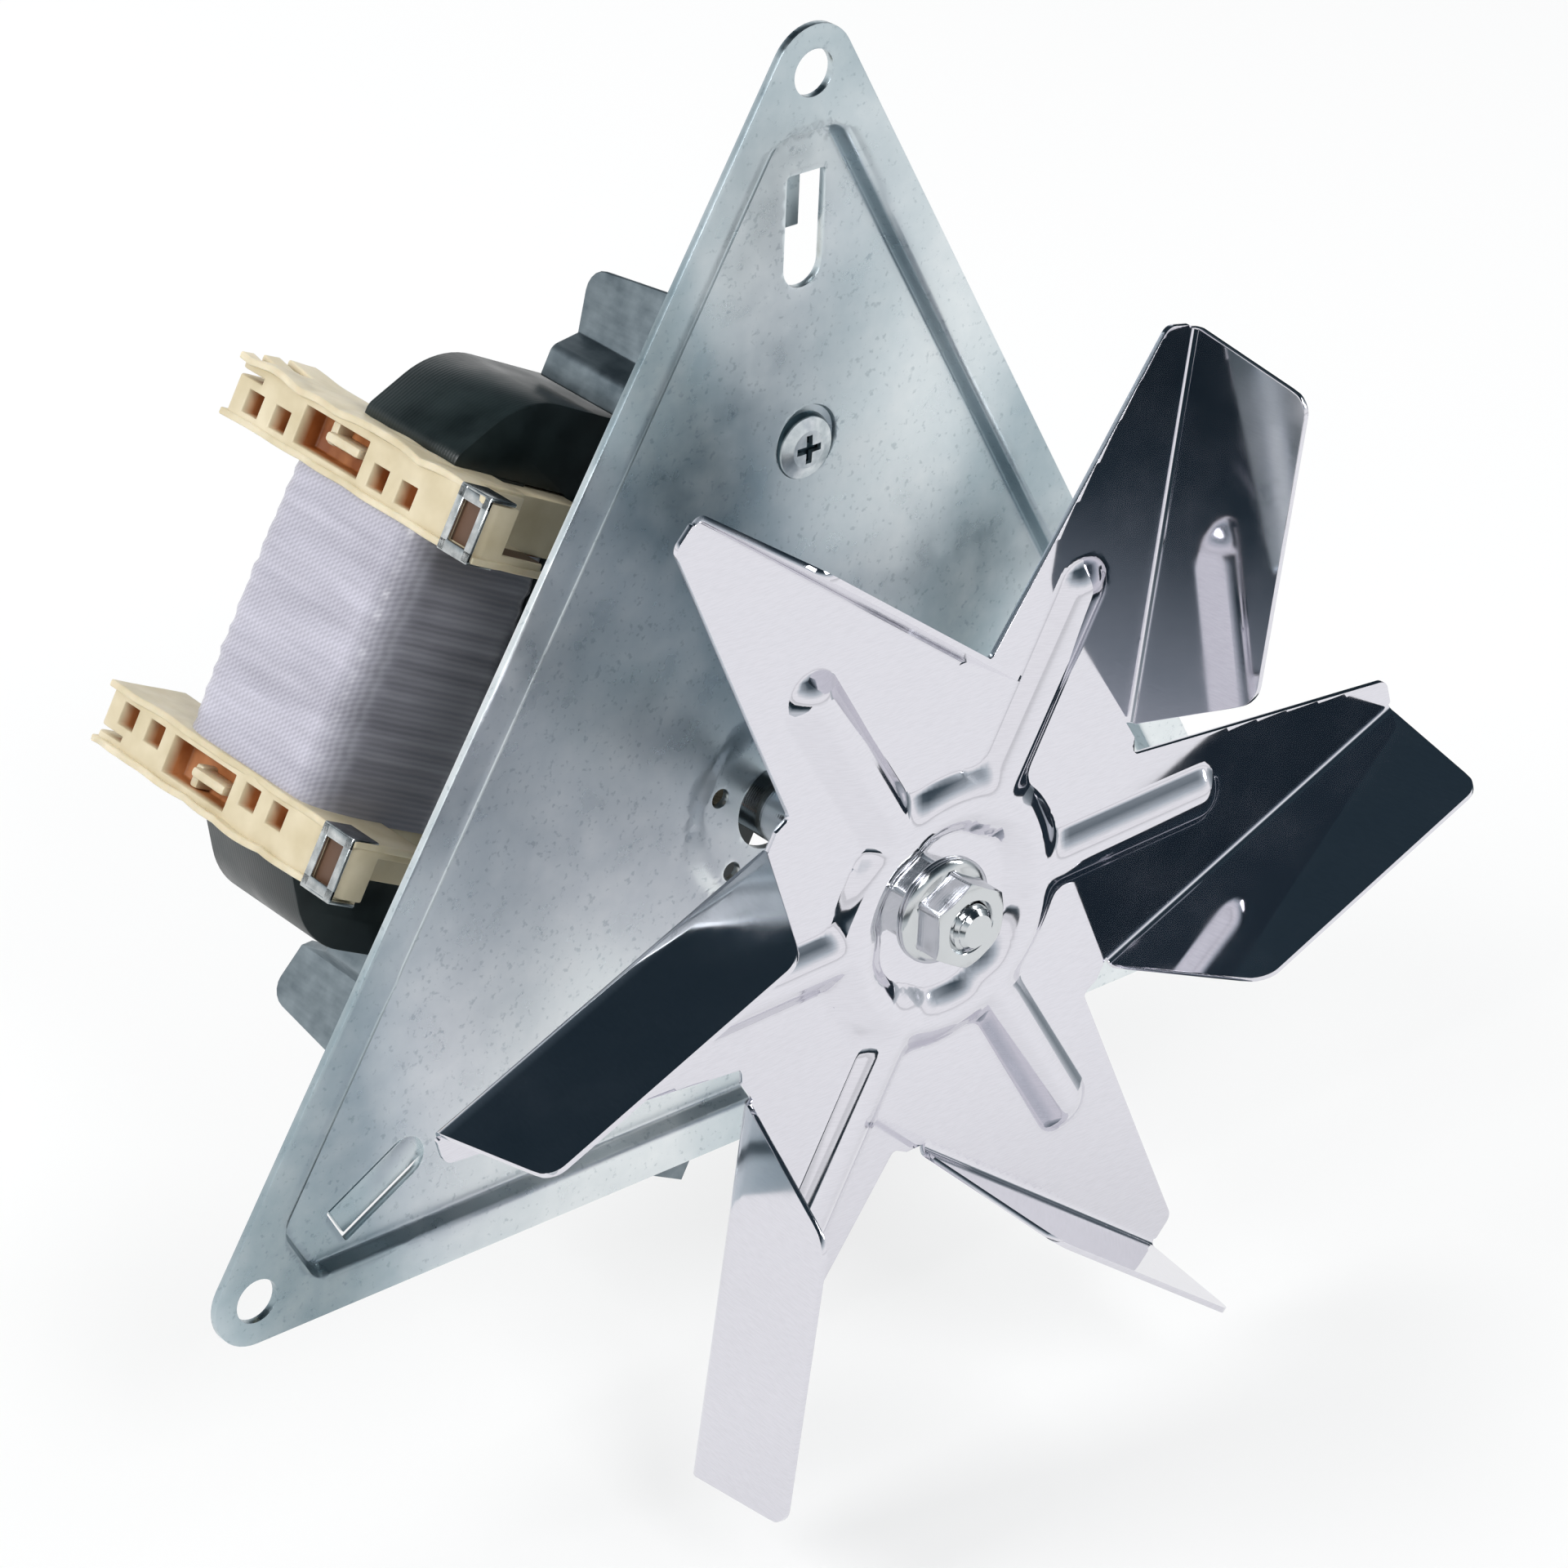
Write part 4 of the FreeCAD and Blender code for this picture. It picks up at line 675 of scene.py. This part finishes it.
def makePlate():
    bm = bmesh.new()
    spots = screwSpots()
    radius = plate["inradius"] - plate["holeCircle"] / 2.0
    outer = [(*polar(2.0 * plate["inradius"], 90.0 + 120.0 * k), radius) for k in range(3)]
    loops = [roundedPoints(outer, 14)]
    half = plate["windowWidth"] / 2.0
    for k in range(3):
        loops.append(ringPoints(*polar(plate["holeCircle"], 90.0 + 120.0 * k), plate["holeRadius"], 36))
        low = plate["windowShift"][k] - half
        high = plate["windowShift"][k] + half
        near = plate["windowInner"]
        far = plate["windowOuter"]
        window = [(near, low, half), (far, low, 0.4), (far, high, 0.4), (near, high, half)]
        loops.append(roundedPoints([(*cornerPoint(r, t, k), c) for r, t, c in window], 8))
    loops.append(ringPoints(0, shaftDrop, plate["bore"], 48))
    for k in range(5):
        x, z = polar(plate["pilotCircle"], plate["pilotAt"] + 72.0 * k)
        loops.append(ringPoints(x, z + shaftDrop, plate["pilot"], 20))
    loops += [ringPoints(x, z, plate["dimple"], 48) for x, z in spots]
    edges = []
    for points in loops:
        edges += addLoop(bm, points)[1]
    bmesh.ops.triangle_fill(bm, use_beauty=True, edges=edges, normal=(0, -1, 0))
    sliceSheet(bm, (30.0, 90.0, 150.0), plate["cut"], 105.0)
    inner = plate["inradius"] - plate["rim"]
    for k in range(3):
        # cuts along the bends of the recess
        direction = flatDirection(90.0 + 120.0 * k)
        for edge in (-inner, plate["tip"]):
            for step in (-0.15, 0.05, 0.25, 0.45, 0.65, 0.85, 1.0):
                offset = edge + math.copysign(step, -edge)
                cutAcross(bm, direction, offset)
    for vert in bm.verts:
        vert.co.y = plateDepth(vert.co.x, vert.co.z)
    for sx, sz in spots:
        # the dished seat of a foot screw, drawn in from its round edge
        ring = [edge for edge in bm.edges if len(edge.link_faces) == 1 and all(
            abs(math.hypot(vert.co.x - sx, vert.co.z - sz) - plate["dimple"]) < 0.05 for vert in edge.verts)]
        foot = (plate["dimple"] - plate["dimpleWall"], plate["dimpleDepth"])
        for radius, drop in (foot, (plate["screwBore"], 0.0)):
            ring, moved = extrudeRow(bm, ring)
            for vert in moved:
                away = Vector((vert.co.x - sx, 0, vert.co.z - sz)).normalized() * radius
                vert.co = (sx + away.x, vert.co.y + drop, sz + away.z)
    bmesh.ops.recalc_face_normals(bm, faces=bm.faces)
    flat = max(bm.faces, key=lambda face: face.calc_area())
    if flat.normal.y > 0:
        bmesh.ops.reverse_faces(bm, faces=bm.faces)
    piece = newPiece("pressedPlate", bm, rowPlace(), zincSheet, "stator", ("mounting_plate",))
    addWall(piece, plate["sheet"])
    addBevel(piece, 0.15, 2, 60.0)
    return applyModifiers(piece, 50.0)


def makeLeaves():
    # the lanced leaves set back behind the windows
    bm = bmesh.new()
    thick = plate["sheet"]
    wide = plate["windowWidth"] - 0.4
    floor = plate["depth"]
    for corner in (0, 2):
        turn = Matrix.Rotation(math.radians(-90.0 - 120.0 * corner), 4, "Y")
        shift = plate["windowShift"][corner]
        x, z = cornerPoint(plate["windowOuter"] + thick / 2.0 - 0.1, shift, corner)
        deep = floor + 0.7 + plate["leafDepth"] / 2.0
        addBlock(bm, (x, deep, z), (thick, plate["leafDepth"], wide), turn, 0.15)
        middle = plate["windowOuter"] + thick - 0.1 - plate["leafLength"] / 2.0
        x, z = cornerPoint(middle, shift, corner)
        addBlock(bm, (x, floor + plate["leafDepth"] + 0.4, z), (plate["leafLength"], thick, wide), turn, 0.15)
    turn = Matrix.Rotation(math.radians(-210.0), 4, "Y")
    length = plate["windowOuter"] - plate["windowInner"]
    x, z = cornerPoint(plate["windowInner"] + length / 2.0 - 0.5, plate["windowShift"][1], 1)
    narrow = plate["windowWidth"] - 2.0 * plate["sideGap"]
    addBlock(bm, (x, floor + thick, z), (length, thick, narrow), turn, 0.15)
    return newPiece("lancedLeaves", bm, rowPlace(), zincSheet, "stator")


makePlate()
makeLeaves()
print("plate made")


# shaft and nut

shaft = {
    "tip": -35.6, "shoulder": -27.7, "tail": 64.0, "radius": 4.0, "stud": 3.0, "pitch": 1.0, "thread": 0.5,
}
nut = {"face": -29.2, "flange": 6.8, "flangeThick": 1.2, "flats": 10.0, "height": 5.2, "bore": 3.0}


def makeShaft():
    bm = bmesh.new()
    for vert in startRing(bm, 48, shaft["stud"] - 0.9):
        vert.co.y = shaft["tip"]
    levels = []
    step = shaft["pitch"] / 10.0
    rows = int((shaft["shoulder"] - shaft["tip"]) / step)
    levels += [(shaft["tip"] + step * row, "thread") for row in range(1, rows)]
    levels += [(shaft["shoulder"], "stud"), (shaft["shoulder"], "edge"), (shaft["shoulder"] + 0.4, "full"),
               (shaft["tail"] - 0.6, "full"), (shaft["tail"], "edge")]
    radii = {"stud": shaft["stud"] - 0.1, "edge": shaft["radius"] - 0.4, "full": shaft["radius"]}
    first = ring = bm.edges[:]
    for y, kind in levels:
        ring, moved = extrudeRow(bm, ring)
        for vert in moved:
            angle = math.atan2(vert.co.z, vert.co.x)
            if kind == "thread":
                phase = (y / shaft["pitch"] + angle / (2.0 * math.pi)) % 1.0
                groove = shaft["thread"] * (1.0 - abs(2.0 * phase - 1.0))
                radius = shaft["stud"] - max(groove, 0.9 - (y - shaft["tip"]))
            else:
                radius = radii[kind]
            vert.co = (radius * math.cos(angle), y, radius * math.sin(angle))
    bmesh.ops.contextual_create(bm, geom=first)
    bmesh.ops.contextual_create(bm, geom=ring)
    bmesh.ops.recalc_face_normals(bm, faces=bm.faces)
    return newPiece("threadedShaft", bm, shaftPlace(), turnedSteel, "rotor", ("shaft",), 40.0)


def makeNut():
    bm = bmesh.new()
    rows = [
        ("round", nut["bore"], 0.0), ("round", nut["flange"], 0.0), ("round", nut["flange"], 0.5),
        ("round", nut["flange"] - 0.5, 0.95), ("round", nut["flats"] * 0.575, nut["flangeThick"]),
        ("hex", 1.0, nut["flangeThick"] + 0.15), ("hex", 1.0, nut["height"]),
        ("round", nut["flats"] * 0.46, nut["height"]), ("round", nut["bore"] + 0.5, nut["height"]),
        ("round", nut["bore"] - 0.1, nut["height"] - 0.5), ("round", nut["bore"] - 0.1, 0.3),
    ]
    ring = None
    for kind, size, rise in rows:
        if ring is None:
            verts = startRing(bm, 72, 1.0)
            first = ring = bm.edges[:]
        else:
            ring, verts = extrudeRow(bm, ring)
        for vert in verts:
            angle = math.atan2(vert.co.z, vert.co.x)
            radius = size
            drop = 0.0
            if kind == "hex":
                apothem = nut["flats"] / 2.0
                radius = apothem / math.cos((angle + math.pi / 6.0) % (math.pi / 3.0) - math.pi / 6.0)
                if rise == nut["height"]:
                    drop = max(radius - apothem * 1.02, 0.0) * 0.62  # the turned chamfer bites the corners
            vert.co = (radius * math.cos(angle), nut["face"] - rise + drop, radius * math.sin(angle))
    bmesh.ops.bridge_loops(bm, edges=ring + first)
    bmesh.ops.remove_doubles(bm, verts=bm.verts, dist=0.001)
    bmesh.ops.recalc_face_normals(bm, faces=bm.faces)
    piece = newPiece("flangedNut", bm, shaftPlace(), turnedSteel, "rotor",
                     ("impeller_nut",), 25.0)
    addBevel(piece, 0.12, 2, 45.0)
    return applyModifiers(piece, 30.0)


makeShaft()
makeNut()
print("shaft and nut made")


# coil: the taped sleeve with soft ridges

coil = {"half": 18.1, "v0": 50.0, "v1": 27.9, "y0": 23.4, "y1": 51.0, "corner": 4.2, "bulge": 0.35}


def makeTape():
    bm = bmesh.new()
    corners = (("v0", "y0"), ("v1", "y0"), ("v1", "y1"), ("v0", "y1"))
    points = roundedPoints([(-coil[v], coil[y], coil["corner"]) for v, y in corners], 10)
    verts = [bm.verts.new((x, y, -coil["half"])) for x, y in points]
    edges = [bm.edges.new((verts[i - 1], verts[i])) for i in range(len(verts))]
    bmesh.ops.subdivide_edges(bm, edges=[edge for edge in edges if edge.calc_length() > 3.0], cuts=24)
    ring = bm.edges[:]
    rows = 40
    for row in range(rows):
        ring, moved = extrudeRow(bm, ring)
        bmesh.ops.translate(bm, vec=(0, 0, 2.0 * coil["half"] / rows), verts=moved)
    middle = Vector((-(coil["v0"] + coil["v1"]) / 2.0, (coil["y0"] + coil["y1"]) / 2.0, 0))
    bm.normal_update()
    for vert in bm.verts:
        share = vert.co.z / coil["half"]
        away = Vector((vert.co.x - middle.x, vert.co.y - middle.y, 0)).normalized()
        swell = coil["bulge"] * (1.0 - share * share)
        ridge = 0.10 * math.sin(vert.co.z * 2.4)
        ridge += 0.22 * noise.noise(Vector((vert.co.x * 0.06, vert.co.y * 0.06, vert.co.z * 0.5)))
        vert.co += away * (swell + ridge - 0.3)
    bmesh.ops.recalc_face_normals(bm, faces=bm.faces)
    return newPiece("tapedCoil", bm, motorPlace(), glassTape, "stator", ("coil_tape",), 50.0)


makeTape()
print("coil made")


# former: the moulding with its front end cut back, wavy outer skins, tongues and clips

def cutBlock(name, low, high):
    # a cutter in the motor's own frame
    bm = bmesh.new()
    middle = [(a + b) / 2.0 for a, b in zip(low, high)]
    bmesh.ops.create_cube(bm, size=1.0)
    bmesh.ops.scale(bm, vec=[b - a for a, b in zip(low, high)], verts=bm.verts)
    bmesh.ops.translate(bm, vec=middle, verts=bm.verts)
    bmesh.ops.transform(bm, matrix=motorPlace(), verts=bm.verts)
    return newObject(name, bm)


def cutAway(piece, cutters, width, segments):
    # takes the cutters out of a piece and rounds its edges
    for cutter in cutters:
        cut = piece.modifiers.new("cut", "BOOLEAN")
        cut.operation = "DIFFERENCE"
        cut.object = cutter
        cut.solver = "EXACT"
    addBevel(piece, width, segments, 35.0)
    applyModifiers(piece, 30.0)
    for cutter in cutters:
        bpy.data.objects.remove(cutter)


def makeFormer():
    piece = cadCopy("mouldedFormer", "coil_former", polyamide)
    inner = former["half"] - former["end"] + 1.3
    cutters = []
    for sign in (1, -1):
        heights = sorted((sign * inner, sign * (former["half"] + 1.0)))
        low = (former["cutFrom"], former["front"] - 1.0, heights[0])
        high = (former["inner"] + 1.0, former["cutTo"], heights[1])
        cutters.append(cutBlock("formerCut", low, high))
    cutAway(piece, cutters, 0.25, 2)


def makeSkins():
    # thin wavy plates on both faces of each end frame, slotted into prongs at the back
    bm = bmesh.new()
    length = former["back"] - former["front"]
    width = former["skinWidth"]
    for level, reach in [(sign * level, reach) for sign in (1, -1) for level, reach in former["skinLevels"]]:
        part = bmesh.new()
        bmesh.ops.create_grid(part, x_segments=24, y_segments=98, size=0.5)
        bmesh.ops.scale(part, vec=(width, length + 0.6, 1.0), verts=part.verts)
        outerEdge = abs(level) > 20.0
        for vert in part.verts:
            x = vert.co.x + (former["outer"] + former["inner"]) / 2.0
            y = vert.co.y + (former["front"] + former["back"]) / 2.0
            wave = noise.noise(Vector((y * 0.16, level * 1.7, 3.0)))
            share = (former["inner"] - x) / width
            x -= reach * (0.45 + wave) * smoothStep(share)
            lift = 0.9 * noise.noise(Vector((x * 0.13, y * 0.11, level))) * smoothStep(share * 1.2)
            lift += 0.8 * smoothStep((y - 57.0) / 7.0) * (0.6 if outerEdge else 0.35)
            side = level if outerEdge else -level
            vert.co = (x, y, level + math.copysign(lift, side) * (1.0 if outerEdge else 0.4))
        gone = []
        for face in part.faces:
            middle = face.calc_center_median()
            slot = any(a < middle.x < b for a, b in former["prongs"])
            if slot and middle.y > former["back"] - former["prongDepth"] and outerEdge:
                gone.append(face)
            elif outerEdge and middle.x > former["cutFrom"] and middle.y < former["cutTo"]:
                gone.append(face)
            elif outerEdge and middle.y < former["front"] + 0.8:
                gone.append(face)
        bmesh.ops.delete(part, geom=gone, context="FACES")
        joinPart(bm, part)
    bmesh.ops.recalc_face_normals(bm, faces=bm.faces)
    piece = newPiece("formerSkins", bm, motorPlace(), polyamideSkin, "stator")
    addWall(piece, former["skin"], 0.0)
    addBevel(piece, 0.2, 2, 50.0)
    return applyModifiers(piece, 50.0)


def makeTongues():
    # a rounded bar in each long pocket
    bm = bmesh.new()
    low, high = former["tongue"]
    flat = Matrix.Identity(4)
    for sign in (1, -1):
        addBlock(bm, (-48.3, (low + high) / 2.0 - 1.0, sign * 21.9), (3.4, high - low, 1.3), flat, 0.45)
        addBlock(bm, (-47.6, high - 1.2, sign * 22.4), (3.0, 1.4, 3.0), flat, 0.4)
    return newPiece("pocketTongues", bm, motorPlace(), polyamideSkin, "stator")


clip = {"start": 14.2, "length": 5.6, "face": -51.0, "sheet": 0.5, "return": 4.2, "bar": 1.2}


def makeClips():
    # tinned clips: a window frame on the former's outer face, with returns over its two skins
    bm = bmesh.new()
    flat = Matrix.Identity(4)
    middle = clip["start"] + clip["length"] / 2.0
    for sign in (1, -1):
        low = former["half"] - former["end"] - 0.55
        high = former["half"] + 0.55
        centre = sign * (low + high) / 2.0
        for y in (clip["start"] + clip["bar"] / 2.0, clip["start"] + clip["length"] - clip["bar"] / 2.0):
            addBlock(bm, (clip["face"], y, centre), (clip["sheet"], clip["bar"], high - low), flat, 0.15)
        for z in (low + 0.7, high - 0.9):
            addBlock(bm, (clip["face"], middle, sign * z), (clip["sheet"], clip["length"], 1.4), flat, 0.15)
        for z in (low + 0.1, high - 0.1):
            addBlock(bm, (clip["face"] + clip["return"] / 2.0 - 0.2, middle, sign * z),
                     (clip["return"], clip["length"], clip["sheet"]), flat, 0.15)
    return newPiece("terminalClips", bm, motorPlace(), tinned, "stator", ("terminal_clips",))


ear = {
    "leaf": 21.6, "ledge": 3.7, "ledgeDrop": 2.3, "skirt": 3.6, "sheet": 1.2, "start": 3.3,
    "high": {"fold": 42.5, "back": 40.6, "lean": 2.4, "outer": 50.6, "rise": 1.8, "ledgeShort": 0.4},
    "low": {"fold": 40.8, "back": 45.0, "lean": 2.2, "outer": 48.9, "rise": 2.2, "ledgeShort": 8.0},
    "riseRun": 13.0, "corner": 3.0, "foldRadius": 0.45,
    "cut": ((-40.0, -1.0, 30.0), (-20.9, 50.0, 60.0)),
}


def makeBridge():
    # the folded strip without its ears
    piece = cadCopy("foldedBridge", "front_bridge", dullZinc)
    (left, front, inner), (right, back, outer) = ear["cut"]
    cutters = []
    for sign in (1, -1):
        heights = sorted((sign * inner, sign * outer))
        cutters.append(cutBlock("earCut", (left, front, heights[0]), (right, back, heights[1])))
    cutAway(piece, cutters, 0.3, 3)


def makeEars():
    # a tapered leaf, a sloping ledge and a short skirt on each foot, folded from one sheet
    bm = bmesh.new()
    for sign, shape in ((1, ear["high"]), (-1, ear["low"])):
        part = bmesh.new()
        fold = shape["fold"]
        side = -ear["leaf"] - ear["ledge"]
        drop = fold - ear["ledgeDrop"]
        path = [(-ear["leaf"], shape["outer"]), (-ear["leaf"], fold), (side, drop),
                (side, drop - ear["skirt"])]
        verts = [part.verts.new((x, ear["start"], z)) for x, z in path]
        row = [part.edges.new((verts[i], verts[i + 1])) for i in range(3)]
        run = shape["back"] - ear["start"]
        for level in (run - ear["riseRun"], run):
            row, moved = extrudeRow(part, row)
            for vert in moved:
                vert.co.y = ear["start"] + level
        for vert in part.verts:
            if vert.co.z > fold + 1.0:
                back = vert.co.y > shape["back"] - 0.1
                vert.co.z = shape["outer"] if back else shape["outer"] + shape["rise"]
                vert.co.y += shape["lean"] if back else 0.0
            elif vert.co.x < -ear["leaf"] - 1.0 and vert.co.y > shape["back"] - 0.1:
                vert.co.y -= shape["ledgeShort"]
        tip = [vert for vert in part.verts if vert.co.z > fold + 1.0 and vert.co.y > shape["back"] - 0.1]
        roundOff(part, tip, ear["corner"], 5, "VERTICES")
        creases = [edge for edge in part.edges
                   if len(edge.link_faces) == 2 and edge.calc_face_angle(0.0) > 0.3]
        roundOff(part, creases, ear["foldRadius"], 4)
        if sign < 0:
            bmesh.ops.scale(part, vec=(1.0, 1.0, -1.0), verts=part.verts)
        bmesh.ops.recalc_face_normals(part, faces=part.faces)
        if sum(face.normal.x * face.calc_area() for face in part.faces) > 0:
            bmesh.ops.reverse_faces(part, faces=part.faces)
        joinPart(bm, part)
    piece = newPiece("bridgeEars", bm, motorPlace(), dullZinc, "stator")
    addWall(piece, ear["sheet"], 0.0, True)
    addBevel(piece, 0.25, 3, 50.0)
    return applyModifiers(piece, 40.0)


makeFormer()
makeSkins()
makeTongues()
makeClips()
makeBridge()
makeEars()
softenedCopy("laminatedCore", "stator_core", 0.3, laminations, 50.0)
softenedCopy("rearStrap", "rear_bridge", 0.25, dullZinc)
print("former, core and bridges made")


# stage, light and camera

studio = {"floor": -0.0856, "floorColour": "f3f3f2", "floorShare": 0.6}


def stagePlane(name, centre, facing, width, height, material):
    bm = bmesh.new()
    bmesh.ops.create_grid(bm, x_segments=1, y_segments=1, size=0.5)
    bmesh.ops.scale(bm, vec=(width, height, 1.0), verts=bm.verts)
    turn = Vector(facing).to_track_quat("Z", "Y").to_matrix().to_4x4()
    bmesh.ops.transform(bm, matrix=Matrix.Translation(centre) @ turn, verts=bm.verts)
    plane = newObject(name, bm)
    plane.data.materials.append(material)
    return plane


def floorMaterial():
    # seamless paper: partly its own white for the eye, so that the shadow stays soft
    material, add = newMaterial("paleStudioFloor", 0.0, 0.9, studio["floorColour"])[:2]
    tree = material.node_tree
    rays = add("LightPath").node.outputs
    seen = add("Math", {0: rays["Is Camera Ray"], 1: rays["Is Glossy Ray"]}, operation="MAXIMUM")
    share = add("Math", {0: seen, 1: studio["floorShare"]}, operation="MULTIPLY")
    glow = add("Emission", {"Color": (1, 1, 1, 1), "Strength": 1.0})
    both = add("MixShader", {0: share, 1: tree.nodes["Principled BSDF"].outputs[0], 2: glow})
    tree.links.new(both, tree.nodes["Material Output"].inputs["Surface"])
    return material


def screenMaterial(name, start, end, direction, stops):
    # a dark cloth screen that only polished metal sees, shaded from one side to the other
    material = bpy.data.materials.new(name)
    material.use_nodes = True
    tree = material.node_tree
    tree.nodes.remove(tree.nodes["Principled BSDF"])
    add = partial(addNode, tree)
    along = add("VectorMath", {0: add("TexCoord", output=3), 1: direction}, output=1, operation="DOT_PRODUCT")
    share = add("MapRange", {"Value": along, "From Min": start, "From Max": end})
    tone = add("ValToRGB", {"Fac": share}, stops=stops)
    glow = add("Emission", {"Color": tone, "Strength": 1.0})
    tree.links.new(glow, tree.nodes["Material Output"].inputs["Surface"])
    return material


stagePlane("studioFloor", (0, 0, studio["floor"]), (0, 0, 1), 8.0, 8.0, floorMaterial())
nearStops = [(0.0, "d5dadd"), (0.3, "8a9499"), (0.65, "2e3c44"), (1.0, "1f2b32")]
screens = (
    ("screenLow", (-0.34, -0.36, -0.080), (0, 0, 1), 0.50, 0.56,
     screenMaterial("lowScreen", 0.22, 0.45, (-0.64, -0.77, 0.0), nearStops)),
    ("screenRight", (0.46, 0.06, 0.13), (-1, 0, 0), 0.62, 0.43,
     screenMaterial("rightScreen", -0.25, 0.12, (0.0, 1.0, 0.0), nearStops)),
    ("screenBehind", (0.27, 0.06, -0.082), (0, 0, 1), 0.24, 0.22,
     screenMaterial("behindScreen", -0.05, 0.04, (0.0, 1.0, 0.0), nearStops)),
)
for screenName, centre, facing, width, height, cloth in screens:
    screen = stagePlane(screenName, centre, facing, width, height, cloth)
    screen.visible_camera = False
    screen.visible_diffuse = False
    screen.visible_shadow = False
    screen.visible_transmission = False

world = bpy.data.worlds.new("paleStudio")
bpy.context.scene.world = world
world.use_nodes = True
world.node_tree.nodes.clear()
add = partial(addNode, world.node_tree)
rays = add("LightPath").node.outputs
seen = add("Math", {0: rays["Is Camera Ray"], 1: rays["Is Glossy Ray"]}, operation="MAXIMUM")
seen = add("Math", {0: seen, 1: rays["Is Transmission Ray"]}, operation="MAXIMUM")
lit = add("Background", {"Color": linear("eef1f4"), "Strength": 0.5})
# what polished metal sees: a white room under a dark ceiling
sky = add("SeparateXYZ", {"Vector": add("TexCoord")}, output=2)
room = add("ValToRGB", {"Fac": sky}, stops=[
    (0.0, "ffffff"), (0.16, "ffffff"), (0.34, "c3ccd1"), (0.52, "4d5a62"), (0.66, "222e36"), (1.0, "2b3942")])
tone = add("Mix", {0: rays["Is Camera Ray"], 6: room, 7: (1, 1, 1, 1)}, **inColour)
shown = add("Background", {"Color": tone, "Strength": 1.0})
both = add("MixShader", {0: seen, 1: lit, 2: shown})
world.node_tree.links.new(both, world.node_tree.nodes.new("ShaderNodeOutputWorld").inputs["Surface"])


def addLamp(name, at, target, size, power):
    lamp = bpy.data.lights.new(name, "AREA")
    lamp.shape = "SQUARE"
    lamp.size = size
    lamp.energy = power
    holder = bpy.data.objects.new(name, lamp)
    bpy.context.scene.collection.objects.link(holder)
    holder.location = at
    holder.rotation_euler = (Vector(target) - Vector(at)).to_track_quat("-Z", "Y").to_euler()
    return holder


addLamp("keyLamp", (-0.80, 0.10, 0.62), (0, 0, 0), 0.35, 5.5)
addLamp("frontLamp", (-0.25, -0.80, 0.70), (0, 0, 0), 0.30, 3.0)
addLamp("rightLamp", (0.80, -0.35, 0.45), (0, 0, 0), 0.40, 3.0)
addLamp("backLamp", (0.10, 0.80, 0.60), (0, 0, 0), 0.40, 3.0).visible_glossy = False

view = {
    "at": (-0.41899, -0.47268, 0.35092), "lens": 138.14,
    "right": (0.7618, -0.6466, 0.0389), "up": (0.2900, 0.3941, 0.8721), "back": (-0.5793, -0.6532, 0.4877),
}
camera = bpy.data.objects.new("photoCamera", bpy.data.cameras.new("photoCamera"))
bpy.context.scene.collection.objects.link(camera)
axes = Matrix((view["right"], view["up"], view["back"])).transposed()
camera.matrix_world = Matrix.Translation(view["at"]) @ axes.to_4x4()
camera.data.sensor_width = 36.0
camera.data.lens = view["lens"]
camera.data.clip_start = 0.01
bpy.context.scene.camera = camera
bpy.context.scene.view_settings.view_transform = "Standard"
print("stage made")
